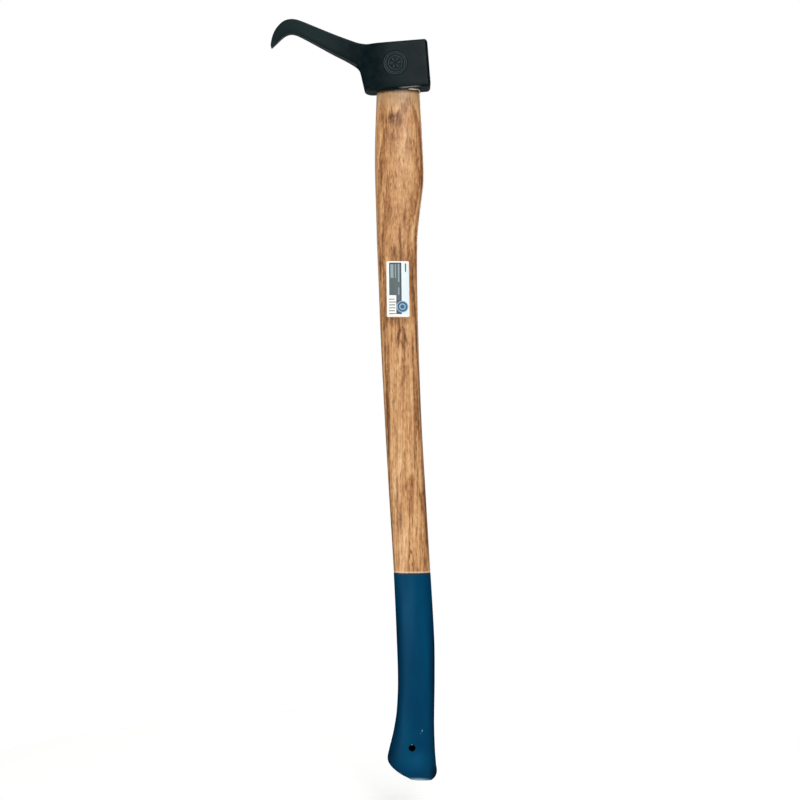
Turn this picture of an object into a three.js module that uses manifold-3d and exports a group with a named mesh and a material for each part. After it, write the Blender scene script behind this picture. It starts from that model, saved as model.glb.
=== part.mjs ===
// Pickaroon: a forged hook head wedged on a long curved wooden handle with a dipped grip.
// Millimetres, Z up. The origin is the middle of the eye's mouth, in the plane of the
// head's underside. The beak points along -X and the poll along +X.

import * as THREE from 'three';
import { mergeVertices } from 'three/addons/utils/BufferGeometryUtils.js';
import Module from 'manifold-3d';

// Clearances and finish of the curved surfaces
const seatGap = 0.3;            // between pieces that are pressed together on the real tool
const cutOverrun = 4;           // how far a cutting body runs past what it cuts
const sectionPoints = 36;       // points round an oval section
const cornerSteps = 4;          // steps round each edge of a forged section

// Head: the block round the eye
const headTiltDegrees = 4.5;    // poll lifted, so that the head sits square on the bent handle
const blockHeight = 51;         // underside to top
const blockThickness = 33;      // cheek to cheek
const pollReach = 35.4;         // eye centre to the poll face
const pollRound = 3.6;          // rounding of the poll's edges
const frontReach = 36;          // eye centre to the foot of the block's front
const frontLean = 4;            // how far the front leans out from its foot to the neck
const neckHeight = 29;          // underside to the corner where the arm leaves the block
const blockEdge = 2.2;          // rounding along the block's edges
const taperStart = 17;          // in front of the eye centre, where the cheeks start to close in
const taperEnd = 33;            // in front of the eye centre, where they reach the neck's thickness

// Head: the arm and the beak
const neckThickness = 24;       // side to side where the arm leaves the block
const armReach = 98;            // block front to the outermost point of the beak
const beakRise = 35;            // the bend's crown above the top of the block
const armEdgeShare = 0.3;       // edge rounding as a share of the section's thickness

// Eye and wedges
const eyeLength = 46.8;         // at the mouth, along the head
const eyeWidth = 22.4;          // at the mouth, side to side
const eyeSpread = 2;            // how much longer the eye is at the top
const eyeFlare = 2.4;           // how much wider the eye is at the top
const tongueProud = 1;          // end of the handle above the top of the head
const wedgeDepth = 34;          // of the wooden wedge in its kerf
const wedgeTop = 5;             // its thickness at the driven end
const wedgeTip = 1.4;           // and at its point
const ringDiameter = 20;        // steel ring wedge, outside
const ringWall = 2;             // its wall at the driven end
const ringEdge = 0.8;           // its wall at the cutting edge
const ringDepth = 12;           // how deep it is driven

// Handle
const handleDrop = 746;         // head's underside to the end of the knob
const handleWidth = 52.8;       // front to back at the swell below the head
const handleThickness = 27;     // side to side in the lower hand
const bowReach = 20;            // furthest drift of the centre line behind the eye
const tiltFade = 45;            // length over which the sections turn level below the head
const coatedLength = 223;       // grip coating, upwards from the end of the knob
const coatThickness = 0.6;
const coatProud = 0.2;          // coating's surface above the bare wood
const holeDiameter = 7.2;       // hanging hole through the knob
const holeRise = 37;            // its centre above the end of the knob
const holeForward = 5;          // its centre in front of the furthest drift of the centre line

// Paper label on the near face
const labelWidth = 25.4;
const labelHeight = 60;
const labelThickness = 0.3;
const labelDrop = 214.5;        // head's underside to the label's middle
const labelColumns = 8;
const labelRows = 6;

// How full an oval section is: 2 is an ellipse, more is squarer
const handleFullness = 2.6;
const eyeFullness = 2.3;

// The arm and beak from the point to the neck. Each row holds the outer and the inner edge,
// as shares of armReach forward and of beakRise above the block's top front corner, and
// the thickness as a share of neckThickness.
const armShares = [
  [0.995, 0.180, 0.986, 0.168, 0.10],
  [0.999, 0.274, 0.963, 0.226, 0.20],
  [0.985, 0.426, 0.927, 0.317, 0.33],
  [0.961, 0.589, 0.879, 0.434, 0.44],
  [0.922, 0.760, 0.839, 0.520, 0.52],
  [0.851, 0.937, 0.801, 0.569, 0.58],
  [0.783, 1.000, 0.764, 0.583, 0.61],
  [0.716, 0.989, 0.724, 0.560, 0.63],
  [0.652, 0.929, 0.689, 0.517, 0.65],
  [0.556, 0.794, 0.633, 0.426, 0.68],
  [0.428, 0.609, 0.508, 0.206, 0.73],
  [0.236, 0.337, 0.328, -0.123, 0.82],
  [0.107, 0.171, 0.206, -0.323, 0.89],
  [0.026, 0.062, 0.117, -0.486, 0.95],
];
const armStepsPerRow = 3;

// The block from the neck to the poll. The top edge's places are shares of frontReach in
// front of the eye centre, paired with places down the front and along the underside.
const frontTopShares = [0.84, 0.76, 0.68, 0.60, 0.53, 0.47];
const frontFallShares = [0, 0.16, 0.45, 0.70, 0.90, 1];
const undersideTopShares = [0.40, 0.30, 0.20, 0.10, -0.05, -0.2, -0.4, -0.6, -0.75];
const undersideFootShares = [0.85, 0.70, 0.50, 0.30, 0.10, -0.1, -0.35, -0.6, -0.75];
const pollSteps = 3;

// The handle's outline below the head, a row at each place where the outline turns: the
// way down as a share of handleDrop, the centre line's drift as a share of bowReach, the
// width as a share of handleWidth and the thickness as a share of handleThickness.
const handleShares = [
  [0.027, 0.01, 0.920, 0.90],
  [0.085, 0.04, 0.985, 0.95],
  [0.128, 0.07, 1.000, 0.96],
  [0.158, 0.03, 0.945, 0.95],
  [0.187, -0.02, 0.882, 0.94],
  [0.215, -0.05, 0.839, 0.93],
  [0.275, -0.01, 0.801, 0.92],
  [0.360, 0.08, 0.778, 0.92],
  [0.478, 0.27, 0.755, 0.93],
  [0.595, 0.52, 0.754, 0.94],
  [0.699, 0.755, 0.750, 0.96],
  [0.798, 0.943, 0.765, 1.00],
  [0.857, 0.983, 0.748, 1.01],
  [0.900, 0.940, 0.765, 1.04],
  [0.929, 0.858, 0.828, 1.09],
  [0.958, 0.750, 0.941, 1.15],
  [0.970, 0.730, 0.981, 1.14],
  [0.979, 0.825, 0.932, 1.08],
  [0.9875, 1.010, 0.822, 0.96],
  [0.9935, 1.150, 0.676, 0.80],
  [0.9965, 1.220, 0.570, 0.67],
  [1, 1.270, 0.440, 0.46],
];
const ringSpacing = 16;         // between the rings along the plain length of the handle
const knobSteps = 14;           // rings over the knob
const tongueSteps = 4;          // rings in the eye
const knobShare = 0.9;          // where the knob begins, as a share of handleDrop

// Colours
const forgedBlack = '#20292b';
const hickory = '#c4935c';
const palerWood = '#cfae7c';
const bareSteel = '#8d9093';
const gripBlue = '#0f4460';
const paperWhite = '#ecedec';

const headTilt = THREE.MathUtils.degToRad(headTiltDegrees);

const wasm = await Module();
wasm.setup();

// A closed surface through rings of points that all have the same count. Each ring runs
// anticlockwise as seen from the far end, and a fan closes each end.
function loft(rings) {
  const positions = [];
  const indices = [];
  const count = rings[0].length;
  for (const ring of rings) {
    for (const point of ring) {
      positions.push(point.x, point.y, point.z);
    }
  }
  for (let row = 0; row + 1 < rings.length; row += 1) {
    for (let step = 0; step < count; step += 1) {
      const here = row * count + step;
      const beside = row * count + (step + 1) % count;
      indices.push(here, beside, beside + count);
      indices.push(here, beside + count, here + count);
    }
  }
  closeEnd(positions, indices, rings[0], 0, true);
  closeEnd(positions, indices, rings.at(-1), (rings.length - 1) * count, false);
  const geometry = new THREE.BufferGeometry();
  geometry.setAttribute('position', new THREE.Float32BufferAttribute(positions, 3));
  geometry.setIndex(indices);
  return geometry;
}

// A fan from the middle of an end ring
function closeEnd(positions, indices, ring, first, isStart) {
  const middle = new THREE.Vector3();
  for (const point of ring) {
    middle.add(point);
  }
  middle.divideScalar(ring.length);
  const hub = positions.length / 3;
  positions.push(middle.x, middle.y, middle.z);
  for (let step = 0; step < ring.length; step += 1) {
    const here = first + step;
    const beside = first + (step + 1) % ring.length;
    if (isStart) {
      indices.push(hub, beside, here);
    } else {
      indices.push(hub, here, beside);
    }
  }
}

// A geometry as a solid that can be cut
function toSolid(geometry) {
  const bare = geometry.clone();
  bare.deleteAttribute('normal');
  bare.deleteAttribute('uv');
  const merged = mergeVertices(bare);
  return new wasm.Manifold(new wasm.Mesh({
    numProp: 3,
    vertProperties: new Float32Array(merged.attributes.position.array),
    triVerts: new Uint32Array(merged.index.array),
  }));
}

// A solid as a geometry with flat facets
function toGeometry(solid) {
  const mesh = solid.getMesh();
  const geometry = new THREE.BufferGeometry();
  geometry.setAttribute('position', new THREE.BufferAttribute(mesh.vertProperties, 3));
  geometry.setIndex(new THREE.BufferAttribute(mesh.triVerts, 1));
  const faceted = geometry.toNonIndexed();
  faceted.computeVertexNormals();
  return faceted;
}

// Turns a geometry that was drawn square to the head into the tilt of the head
function withHeadTilt(geometry) {
  return geometry.rotateY(-headTilt);
}

// One coordinate of a point of an oval, from the cosine or the sine of its angle
function ovalReach(half, fullness, turn) {
  return half * Math.sign(turn) * Math.abs(turn) ** (2 / fullness);
}

// An oval ring round a centre, in a plane that is turned by tilt from level. It runs
// anticlockwise as seen from below, for a loft that goes down.
function ovalRing(centre, halfLength, halfWidth, fullness, tilt) {
  const ring = [];
  for (let step = 0; step < sectionPoints; step += 1) {
    const angle = 2 * Math.PI * step / sectionPoints;
    const along = ovalReach(halfLength, fullness, Math.cos(angle));
    const across = -ovalReach(halfWidth, fullness, Math.sin(angle));
    ring.push(new THREE.Vector3(
      centre.x + along * Math.cos(tilt),
      centre.y + across,
      centre.z + along * Math.sin(tilt),
    ));
  }
  return ring;
}

// A smooth value through a table's rows at a place between them: a cubic piece in each
// span, with the slope at each row taken from its neighbours
function smoothBetween(rows, column, place) {
  const last = rows.length - 1;
  let span = 0;
  while (span < last - 1 && place > rows[span + 1][0]) {
    span += 1;
  }
  const slopeAt = (row) => {
    const before = rows[Math.max(row - 1, 0)];
    const after = rows[Math.min(row + 1, last)];
    return (after[column] - before[column]) / (after[0] - before[0]);
  };
  const start = rows[span];
  const end = rows[span + 1];
  const width = end[0] - start[0];
  const t = (place - start[0]) / width;
  const rise = slopeAt(span) * width;
  const run = slopeAt(span + 1) * width;
  return (2 * t ** 3 - 3 * t ** 2 + 1) * start[column]
    + (t ** 3 - 2 * t ** 2 + t) * rise
    + (3 * t ** 2 - 2 * t ** 3) * end[column]
    + (t ** 3 - t ** 2) * run;
}

// The handle's outline with the row at the eye's mouth worked out from the eye
const mouthRow = [0, 0, (eyeLength - 2 * seatGap) / handleWidth, (eyeWidth - 2 * seatGap) / handleThickness];
const handleRows = [mouthRow, ...handleShares];

// The handle's section at a distance below the head, drawn in by an inset all round
function handleSection(drop, inset) {
  const share = Math.min(drop / (handleDrop - inset), 1);
  return {
    centre: new THREE.Vector3(bowReach * smoothBetween(handleRows, 1, share), 0, -drop),
    halfLength: handleWidth * smoothBetween(handleRows, 2, share) / 2 - inset,
    halfWidth: handleThickness * smoothBetween(handleRows, 3, share) / 2 - inset,
    tilt: headTilt * (1 - THREE.MathUtils.smoothstep(drop, 0, tiltFade)),
  };
}

// The handle's ring at a distance below the head
function handleRing(drop, inset) {
  const section = handleSection(drop, inset);
  return ovalRing(section.centre, section.halfLength, section.halfWidth, handleFullness, section.tilt);
}

// The eye's ring at a height above the underside, drawn in by an inset all round
function eyeRing(height, inset) {
  const share = height / blockHeight;
  const centre = new THREE.Vector3(-height * Math.sin(headTilt), 0, height * Math.cos(headTilt));
  const halfLength = (eyeLength + eyeSpread * share) / 2 - inset;
  const halfWidth = (eyeWidth + eyeFlare * share) / 2 - inset;
  return ovalRing(centre, halfLength, halfWidth, eyeFullness, headTilt);
}

// Evenly spaced values from one end to the other, both included
function evenly(from, to, steps) {
  return Array.from({ length: steps + 1 }, (_, step) => from + (to - from) * step / steps);
}

// A forged section between an outer and an inner edge point: a rectangle with round edges
function forgedRing(outer, inner, thickness, round) {
  const middle = outer.clone().add(inner).divideScalar(2);
  const up = outer.clone().sub(inner);
  const halfHeight = up.length() / 2;
  up.normalize();
  const radius = Math.min(round, halfHeight, thickness / 2);
  const ring = [];
  for (let corner = 0; corner < 4; corner += 1) {
    for (const turn of evenly(0, Math.PI / 2, cornerSteps)) {
      const angle = corner * Math.PI / 2 + turn;
      const side = Math.sign(Math.cos((corner + 1 / 2) * Math.PI / 2));
      const end = Math.sign(Math.sin((corner + 1 / 2) * Math.PI / 2));
      const across = side * (thickness / 2 - radius) + radius * Math.cos(angle);
      const along = end * (halfHeight - radius) + radius * Math.sin(angle);
      ring.push(new THREE.Vector3(middle.x + up.x * along, across, middle.z + up.z * along));
    }
  }
  return ring;
}

// A point of the head's outline, square to the head: forward of the eye centre and up
function headPoint(forward, height) {
  return new THREE.Vector3(-forward, 0, height);
}

// The block's thickness at a place in front of the eye centre
function blockThicknessAt(forward) {
  const closing = THREE.MathUtils.smoothstep(forward, taperStart, taperEnd);
  return THREE.MathUtils.lerp(blockThickness, neckThickness, closing);
}

// Rings of the beak and arm, from the point to the neck
function armRings() {
  const toPoint = (row, at) => headPoint(frontReach + armReach * row[at], blockHeight + beakRise * row[at + 1]);
  const outerCurve = new THREE.CatmullRomCurve3(armShares.map((row) => toPoint(row, 0)));
  const innerCurve = new THREE.CatmullRomCurve3(armShares.map((row) => toPoint(row, 2)));
  const thicknessRows = armShares.map((row, place) => [place, row[4]]);
  const spans = armShares.length - 1;
  return evenly(0, 1, spans * armStepsPerRow).map((t) => {
    const thickness = neckThickness * smoothBetween(thicknessRows, 1, t * spans);
    return forgedRing(outerCurve.getPoint(t), innerCurve.getPoint(t), thickness, thickness * armEdgeShare);
  });
}

// Rings of the block, from the neck's corner down its front and along its underside
function blockRings() {
  const rings = [];
  for (let row = 0; row < frontTopShares.length; row += 1) {
    const fall = frontFallShares[row];
    const outer = headPoint(frontReach * frontTopShares[row], blockHeight);
    const inner = headPoint(frontReach + frontLean * (1 - fall), neckHeight + (blockEdge - neckHeight) * fall);
    rings.push(forgedRing(outer, inner, blockThicknessAt(frontReach * frontTopShares[row]), blockEdge));
  }
  for (let row = 0; row < undersideTopShares.length; row += 1) {
    const outer = headPoint(frontReach * undersideTopShares[row], blockHeight);
    const inner = headPoint(frontReach * undersideFootShares[row], 0);
    rings.push(forgedRing(outer, inner, blockThicknessAt(frontReach * undersideTopShares[row]), blockEdge));
  }
  return rings;
}

// Rings of the poll, which draw in round its edges
function pollRings() {
  return evenly(0, Math.PI / 2, pollSteps).map((angle) => {
    const forward = -(pollReach - pollRound + pollRound * Math.sin(angle));
    const drawn = pollRound * (1 - Math.cos(angle));
    const outer = headPoint(forward, blockHeight - drawn);
    const inner = headPoint(forward, drawn);
    return forgedRing(outer, inner, blockThickness - 2 * drawn, blockEdge);
  });
}

// The head with its tapered eye
function hookHead() {
  const body = toSolid(withHeadTilt(loft([...armRings(), ...blockRings(), ...pollRings()])));
  const eye = toSolid(loft([
    eyeRing(blockHeight + cutOverrun, 0),
    eyeRing(blockHeight, 0),
    eyeRing(0, 0),
    eyeRing(-cutOverrun, 0),
  ]));
  return body.subtract(eye);
}

// The part of the handle that fills the eye, up to its end above the head
function tongueRings() {
  return evenly(blockHeight + tongueProud, 0, tongueSteps).map((height) => eyeRing(height, seatGap));
}

// The wooden wedge's prism, thick at the top, grown by a gap for the kerf that holds it
function wedgePrism(gap) {
  const top = blockHeight + tongueProud + (gap > 0 ? cutOverrun : 0);
  const point = blockHeight + tongueProud - wedgeDepth - gap;
  const halfTop = wedgeTop / 2 + gap;
  const halfTip = wedgeTip / 2 + gap;
  const shape = new THREE.Shape();
  shape.moveTo(-halfTip, point);
  shape.lineTo(halfTip, point);
  shape.lineTo(halfTop, blockHeight + tongueProud);
  shape.lineTo(halfTop, top);
  shape.lineTo(-halfTop, top);
  shape.lineTo(-halfTop, blockHeight + tongueProud);
  const reach = eyeLength + 2 * cutOverrun;
  const prism = new THREE.ExtrudeGeometry(shape, { depth: reach, bevelEnabled: false });
  prism.translate(0, 0, -reach / 2);
  prism.rotateX(Math.PI / 2);
  prism.rotateZ(Math.PI / 2);
  return withHeadTilt(prism);
}

// The steel ring wedge, grown by a gap for the groove that holds it
function ringWedgeGeometry(gap) {
  const top = blockHeight + tongueProud + (gap > 0 ? cutOverrun : 0);
  const bottom = blockHeight + tongueProud - ringDepth - gap;
  const outerRadius = ringDiameter / 2 + gap;
  const innerRadius = ringDiameter / 2 - ringWall - gap;
  const edgeOuter = ringDiameter / 2 - (ringWall - ringEdge) / 2 + gap;
  const edgeInner = ringDiameter / 2 - (ringWall + ringEdge) / 2 - gap;
  const profile = [
    new THREE.Vector2(edgeInner, bottom),
    new THREE.Vector2(edgeOuter, bottom),
    new THREE.Vector2(outerRadius, blockHeight + tongueProud),
    new THREE.Vector2(outerRadius, top),
    new THREE.Vector2(innerRadius, top),
    new THREE.Vector2(innerRadius, blockHeight + tongueProud),
    new THREE.Vector2(edgeInner, bottom),
  ];
  const ring = new THREE.LatheGeometry(profile, sectionPoints);
  ring.rotateX(Math.PI / 2);
  return withHeadTilt(ring);
}

// The hanging hole's cutting body, across the knob
function holeCut() {
  const reach = handleThickness + 2 * cutOverrun;
  const cylinder = new THREE.CylinderGeometry(holeDiameter / 2, holeDiameter / 2, reach, sectionPoints);
  cylinder.translate(bowReach - holeForward, 0, holeRise - handleDrop);
  return toSolid(cylinder);
}

// Distances below the head of the handle's rings
function handleDrops(from, inset) {
  const end = handleDrop - inset;
  const knobStart = end * knobShare;
  const plain = evenly(from, knobStart, Math.ceil((knobStart - from) / ringSpacing));
  const knob = evenly(0, Math.PI / 2, knobSteps).map((angle) => (
    knobStart + (end - knobStart) * Math.sin(angle)
  ));
  return [...plain, ...knob.slice(1)];
}

// The wooden handle: tongue, bare length and the drawn-in length under the coating
function handle() {
  const shoulder = handleDrop - coatedLength - seatGap;
  const inset = coatThickness - coatProud + seatGap;
  const bare = evenly(0, shoulder, Math.ceil(shoulder / ringSpacing)).slice(1);
  const coated = handleDrops(shoulder, inset);
  const solid = toSolid(loft([
    ...tongueRings(),
    ...bare.map((drop) => handleRing(drop, 0)),
    ...coated.map((drop) => handleRing(drop, inset)),
  ]));
  const kerf = toSolid(wedgePrism(seatGap));
  const groove = toSolid(ringWedgeGeometry(seatGap));
  return solid.subtract(kerf).subtract(groove).subtract(holeCut());
}

// The wooden wedge, trimmed to the tongue that it spreads
function eyeWedge() {
  const tongue = toSolid(loft(tongueRings()));
  const groove = toSolid(ringWedgeGeometry(seatGap));
  return toSolid(wedgePrism(0)).intersect(tongue).subtract(groove);
}

// The dipped coating: a thin cup over the lower hand and the knob, with the hole through it
function gripCoating() {
  const top = handleDrop - coatedLength;
  const inset = coatThickness - coatProud;
  const outside = handleDrops(top, -coatProud).map((drop) => handleRing(drop, -coatProud));
  const inside = handleDrops(top - cutOverrun, inset).map((drop) => handleRing(drop, inset));
  return toSolid(loft(outside)).subtract(toSolid(loft(inside))).subtract(holeCut());
}

// The near side of the handle at a distance from the Z axis and below the head
function nearSurface(x, drop) {
  const section = handleSection(drop, 0);
  const share = Math.abs(x - section.centre.x) / section.halfLength;
  return -section.halfWidth * (1 - share ** handleFullness) ** (1 / handleFullness);
}

// The paper label: a thin box whose points are pushed out to the near side of the handle
function paperLabel() {
  const sheet = new THREE.BoxGeometry(labelWidth, labelThickness, labelHeight, labelColumns, 1, labelRows);
  const middle = handleSection(labelDrop, 0).centre.x;
  sheet.translate(middle, -seatGap - labelThickness / 2, -labelDrop);
  const places = sheet.attributes.position;
  for (let point = 0; point < places.count; point += 1) {
    places.setY(point, places.getY(point) + nearSurface(places.getX(point), -places.getZ(point)));
  }
  return toSolid(sheet);
}

// A named mesh with its own finish
function piece(name, geometry, color, roughness, metalness) {
  const mesh = new THREE.Mesh(geometry, new THREE.MeshStandardMaterial({ color, roughness, metalness }));
  mesh.name = name;
  return mesh;
}

const pickaroon = new THREE.Group();
pickaroon.add(
  piece('hook_head', toGeometry(hookHead()), forgedBlack, 0.45, 0.6),
  piece('handle', toGeometry(handle()), hickory, 0.5, 0),
  piece('eye_wedge', toGeometry(eyeWedge()), palerWood, 0.7, 0),
  piece('ring_wedge', ringWedgeGeometry(0), bareSteel, 0.4, 1),
  piece('grip_coating', toGeometry(gripCoating()), gripBlue, 0.35, 0),
  piece('paper_label', toGeometry(paperLabel()), paperWhite, 0.6, 0),
);

export default pickaroon;
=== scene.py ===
import math

import bpy
import numpy as np
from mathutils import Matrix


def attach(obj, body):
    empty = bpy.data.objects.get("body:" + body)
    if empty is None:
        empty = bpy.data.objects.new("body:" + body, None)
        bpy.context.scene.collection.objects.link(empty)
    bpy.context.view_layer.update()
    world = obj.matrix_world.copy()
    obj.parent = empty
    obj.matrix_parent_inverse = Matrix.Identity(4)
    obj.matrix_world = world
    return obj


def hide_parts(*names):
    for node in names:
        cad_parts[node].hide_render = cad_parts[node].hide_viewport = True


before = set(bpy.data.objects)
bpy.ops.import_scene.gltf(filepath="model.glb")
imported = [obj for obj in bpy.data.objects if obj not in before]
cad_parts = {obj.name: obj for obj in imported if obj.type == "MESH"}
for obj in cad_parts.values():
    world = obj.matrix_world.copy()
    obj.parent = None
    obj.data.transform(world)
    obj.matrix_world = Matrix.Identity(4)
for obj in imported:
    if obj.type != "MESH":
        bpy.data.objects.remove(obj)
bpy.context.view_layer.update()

# A pickaroon: a black painted hook head wedged on a lacquered hickory handle whose lower hand
# is dipped in blue. Lengths are written in millimetres and turned to metres by mm. The frame is
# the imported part's own: Z up, the beak towards -X, the middle of the eye's mouth at the origin.

mm = 0.001


# Meshes from arrays

def meshPiece(name, vertices, quads, triangles):
    # an object at the origin from vertex places in millimetres and arrays of corner numbers
    mesh = bpy.data.meshes.new(name)
    mesh.vertices.add(len(vertices))
    mesh.vertices.foreach_set("co", (vertices * mm).astype(np.float32).ravel())
    corners = np.concatenate([quads.ravel(), triangles.ravel()]).astype(np.int32)
    sizes = np.concatenate([np.full(len(quads), 4), np.full(len(triangles), 3)])
    mesh.loops.add(len(corners))
    mesh.loops.foreach_set("vertex_index", corners)
    mesh.polygons.add(len(sizes))
    mesh.polygons.foreach_set("loop_start", (np.cumsum(sizes) - sizes).astype(np.int32))
    mesh.update(calc_edges=True)
    piece = bpy.data.objects.new(name, mesh)
    bpy.context.scene.collection.objects.link(piece)
    return piece


def gridQuads(rows, columns, loop):
    # corner numbers of the quads between rings, and from the last ring to the first on a loop
    row, column = np.meshgrid(np.arange(rows if loop else rows - 1), np.arange(columns), indexing="ij")
    here = row * columns
    after = (row + 1) % rows * columns
    beside = (column + 1) % columns
    return np.stack([here + column, here + beside, after + beside, after + column], -1).reshape(-1, 4)


def closedGrid(name, points):
    # rings joined to each other, each end closed by a fan to its mean
    rows, columns = points.shape[:2]
    flat = points.reshape(-1, 3)
    around = np.arange(columns)
    after = (around + 1) % columns
    last = (rows - 1) * columns
    first = np.full(columns, len(flat))
    fans = np.vstack([np.stack([first, after, around], -1),
                      np.stack([first + 1, last + around, last + after], -1)])
    hubs = np.stack([points[0].mean(0), points[-1].mean(0)])
    return meshPiece(name, np.vstack([flat, hubs]), gridQuads(rows, columns, False), fans)


def loopGrid(name, points):
    # rings that come back to the first, as on a torus
    rows, columns = points.shape[:2]
    return meshPiece(name, points.reshape(-1, 3), gridQuads(rows, columns, True), np.zeros((0, 3), int))


def shadeSmooth(piece, sharpDegrees):
    # smooth shading, but crisp along edges sharper than the angle
    piece.data.shade_smooth()
    piece.data.set_sharp_from_angle(angle=math.radians(sharpDegrees))


def cutWith(piece, cutter):
    # takes the cutter's solid out of the piece and removes the cutter
    cut = piece.modifiers.new("cut", "BOOLEAN")
    cut.operation = "DIFFERENCE"
    cut.solver = "EXACT"
    cut.object = cutter
    graph = bpy.context.evaluated_depsgraph_get()
    result = bpy.data.meshes.new_from_object(piece.evaluated_get(graph))
    piece.modifiers.clear()
    piece.data = result
    bpy.data.objects.remove(cutter)


def roundAngles(steps):
    # even angles once round, without the first again at the end
    return np.linspace(0, 2 * np.pi, steps, endpoint=False)


def hermite(rows, column, places):
    # a cubic in each span of a table, with each row's slope taken from its two neighbours
    table = np.array(rows, float)
    x, y = table[:, 0], table[:, column]
    before = np.maximum(np.arange(len(x)) - 1, 0)
    after = np.minimum(np.arange(len(x)) + 1, len(x) - 1)
    slope = (y[after] - y[before]) / (x[after] - x[before])
    span = np.clip(np.searchsorted(x, places, side="right") - 1, 0, len(x) - 2)
    width = x[span + 1] - x[span]
    t = (places - x[span]) / width
    return ((2 * t**3 - 3 * t**2 + 1) * y[span] + (t**3 - 2 * t**2 + t) * slope[span] * width
            + (3 * t**2 - 2 * t**3) * y[span + 1] + (t**3 - t**2) * slope[span + 1] * width)


def smoothStep(values, low, high):
    # 0 up to low and 1 past high, by 3 t^2 - 2 t^3 between them
    t = np.clip((values - low) / (high - low), 0, 1)
    return t * t * (3 - 2 * t)


def quarterTurn(radius, steps=7):
    # depth below an edge and the growth there, along a quarter circle that rounds the edge
    turn = np.linspace(0, np.pi / 2, steps)
    return radius * (1 - np.cos(turn)), radius * (1 - np.sin(turn))


# The forms that several pieces share

handleSizes = {
    "drop": 746,  # head's underside to the end of the knob
    "width": 52.8,  # front to back at the swell below the head
    "thickness": 27,  # side to side in the lower hand
    "bow": 20,  # furthest drift of the centre line behind the eye
    "fullness": 2.6,  # 2 is an ellipse, more is squarer
    "tiltFade": 45,  # length over which the sections turn level below the head
    "aroundSteps": 120,
    "ringStep": 3.2,  # between rings along the bare wood
    "knobStart": 0.9,  # share of the drop where the knob begins
    "knobRings": 56,
    "endRound": 0.5,  # rounding of the end in the eye
    "tongueRings": 15,  # below that rounding
    "crease": 40,  # degrees above which an edge stays crisp
}
headSizes = {
    "tilt": math.radians(4.5),
    "height": 51,  # underside to top of the block
    "thickness": 33,  # cheek to cheek
    "poll": 35.4,  # eye centre to the poll face
    "pollRound": 3.6,
    "front": 36,  # eye centre to the foot of the block's front
    "frontLean": 4,
    "neckHeight": 29,
    "edge": 2.2,  # rounding along the block's edges
    "taperStart": 17,
    "taperEnd": 33,
    "neckThickness": 24,
    "clear": 0.03,  # the eye's rim starts this far off the head's flat ends
    "crown": 3.5,  # how far each cheek draws in towards the front
    "crownFrom": -2,  # forward of the eye's centre
    "crownLength": 36,
    "crownMost": 1.1,  # share of that length up to which it goes on
    "crownLead": 0.3,  # the crown's arc starts this far outside the flat cheek
    "crownBlend": 1.2,
    "armReach": 98,  # block front to the outermost point of the beak
    "beakRise": 35,  # the bend's crown above the top of the block
    "armEdge": 0.14,  # edge rounding as a share of the section's thickness
    "armSteps": 16,  # rings for each row of the arm's table
    "blockSteps": 9,  # and of the block's
    "pollSteps": 9,
    "cornerSteps": 9,
    "sideSteps": 14,
    "easing": 5,  # rings over which the corner under the arm is eased
    "fullest": 0.98,  # most of a section's half that its corners may take
    "crease": 32,  # degrees above which an edge stays crisp
    "hammerSize": 9,  # waves left by the hammer
    "hammerShare": 0.008,
    "recess": 13.6,  # radius of the round recess in the near cheek
    "recessDepth": 0.45,
    "recessStep": 0.25,  # between its rings of points
    "recessHub": 0.2,  # radius of the innermost
    "recessAround": 144,
    "relief": 0.26,  # height of the plain ornament on its floor
    "ridges": (12.2, 10.3, 7.4),
    "ridgeWidth": 0.6,
    "petals": 6,
    "petalRadius": 3.7,
    "petalReach": 2.3,
    "recessRise": 27.6,  # its centre above the underside, square to the head
    "recessForward": 1,
}
eyeSizes = {
    "length": 46.8,  # at the mouth, along the head
    "width": 22.4,  # at the mouth, side to side
    "spread": 2,  # longer by this at the top
    "flare": 2.4,  # wider by this at the top
    "fullness": 2.3,
    "mouthRound": 1.2,  # rounding of the eye's rim
    "proud": 0.3,  # end of the handle above the top of the head
    "slack": 0.12,  # between wood and steel
}

# way down, centre's drift, width and thickness, as shares of the handle's sizes
handleShares = [
    [0.027, 0.01, 0.920, 0.90],
    [0.085, 0.04, 0.985, 0.95],
    [0.128, 0.07, 1.000, 0.96],
    [0.158, 0.03, 0.945, 0.95],
    [0.187, -0.02, 0.882, 0.94],
    [0.215, -0.05, 0.839, 0.93],
    [0.275, -0.01, 0.801, 0.92],
    [0.360, 0.08, 0.778, 0.92],
    [0.478, 0.27, 0.755, 0.93],
    [0.595, 0.52, 0.754, 0.94],
    [0.699, 0.755, 0.750, 0.96],
    [0.798, 0.943, 0.765, 1.00],
    [0.857, 0.983, 0.748, 1.01],
    [0.900, 0.940, 0.765, 1.04],
    [0.929, 0.858, 0.828, 1.09],
    [0.958, 0.750, 0.941, 1.15],
    [0.970, 0.730, 0.981, 1.14],
    [0.979, 0.825, 0.932, 1.08],
    [0.9875, 1.010, 0.822, 0.96],
    [0.9935, 1.150, 0.676, 0.80],
    [0.9965, 1.220, 0.570, 0.67],
    [1, 1.270, 0.440, 0.46],
]
mouthRow = [0, 0, eyeSizes["length"] / handleSizes["width"], eyeSizes["width"] / handleSizes["thickness"]]
handleRows = [mouthRow] + handleShares


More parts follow.
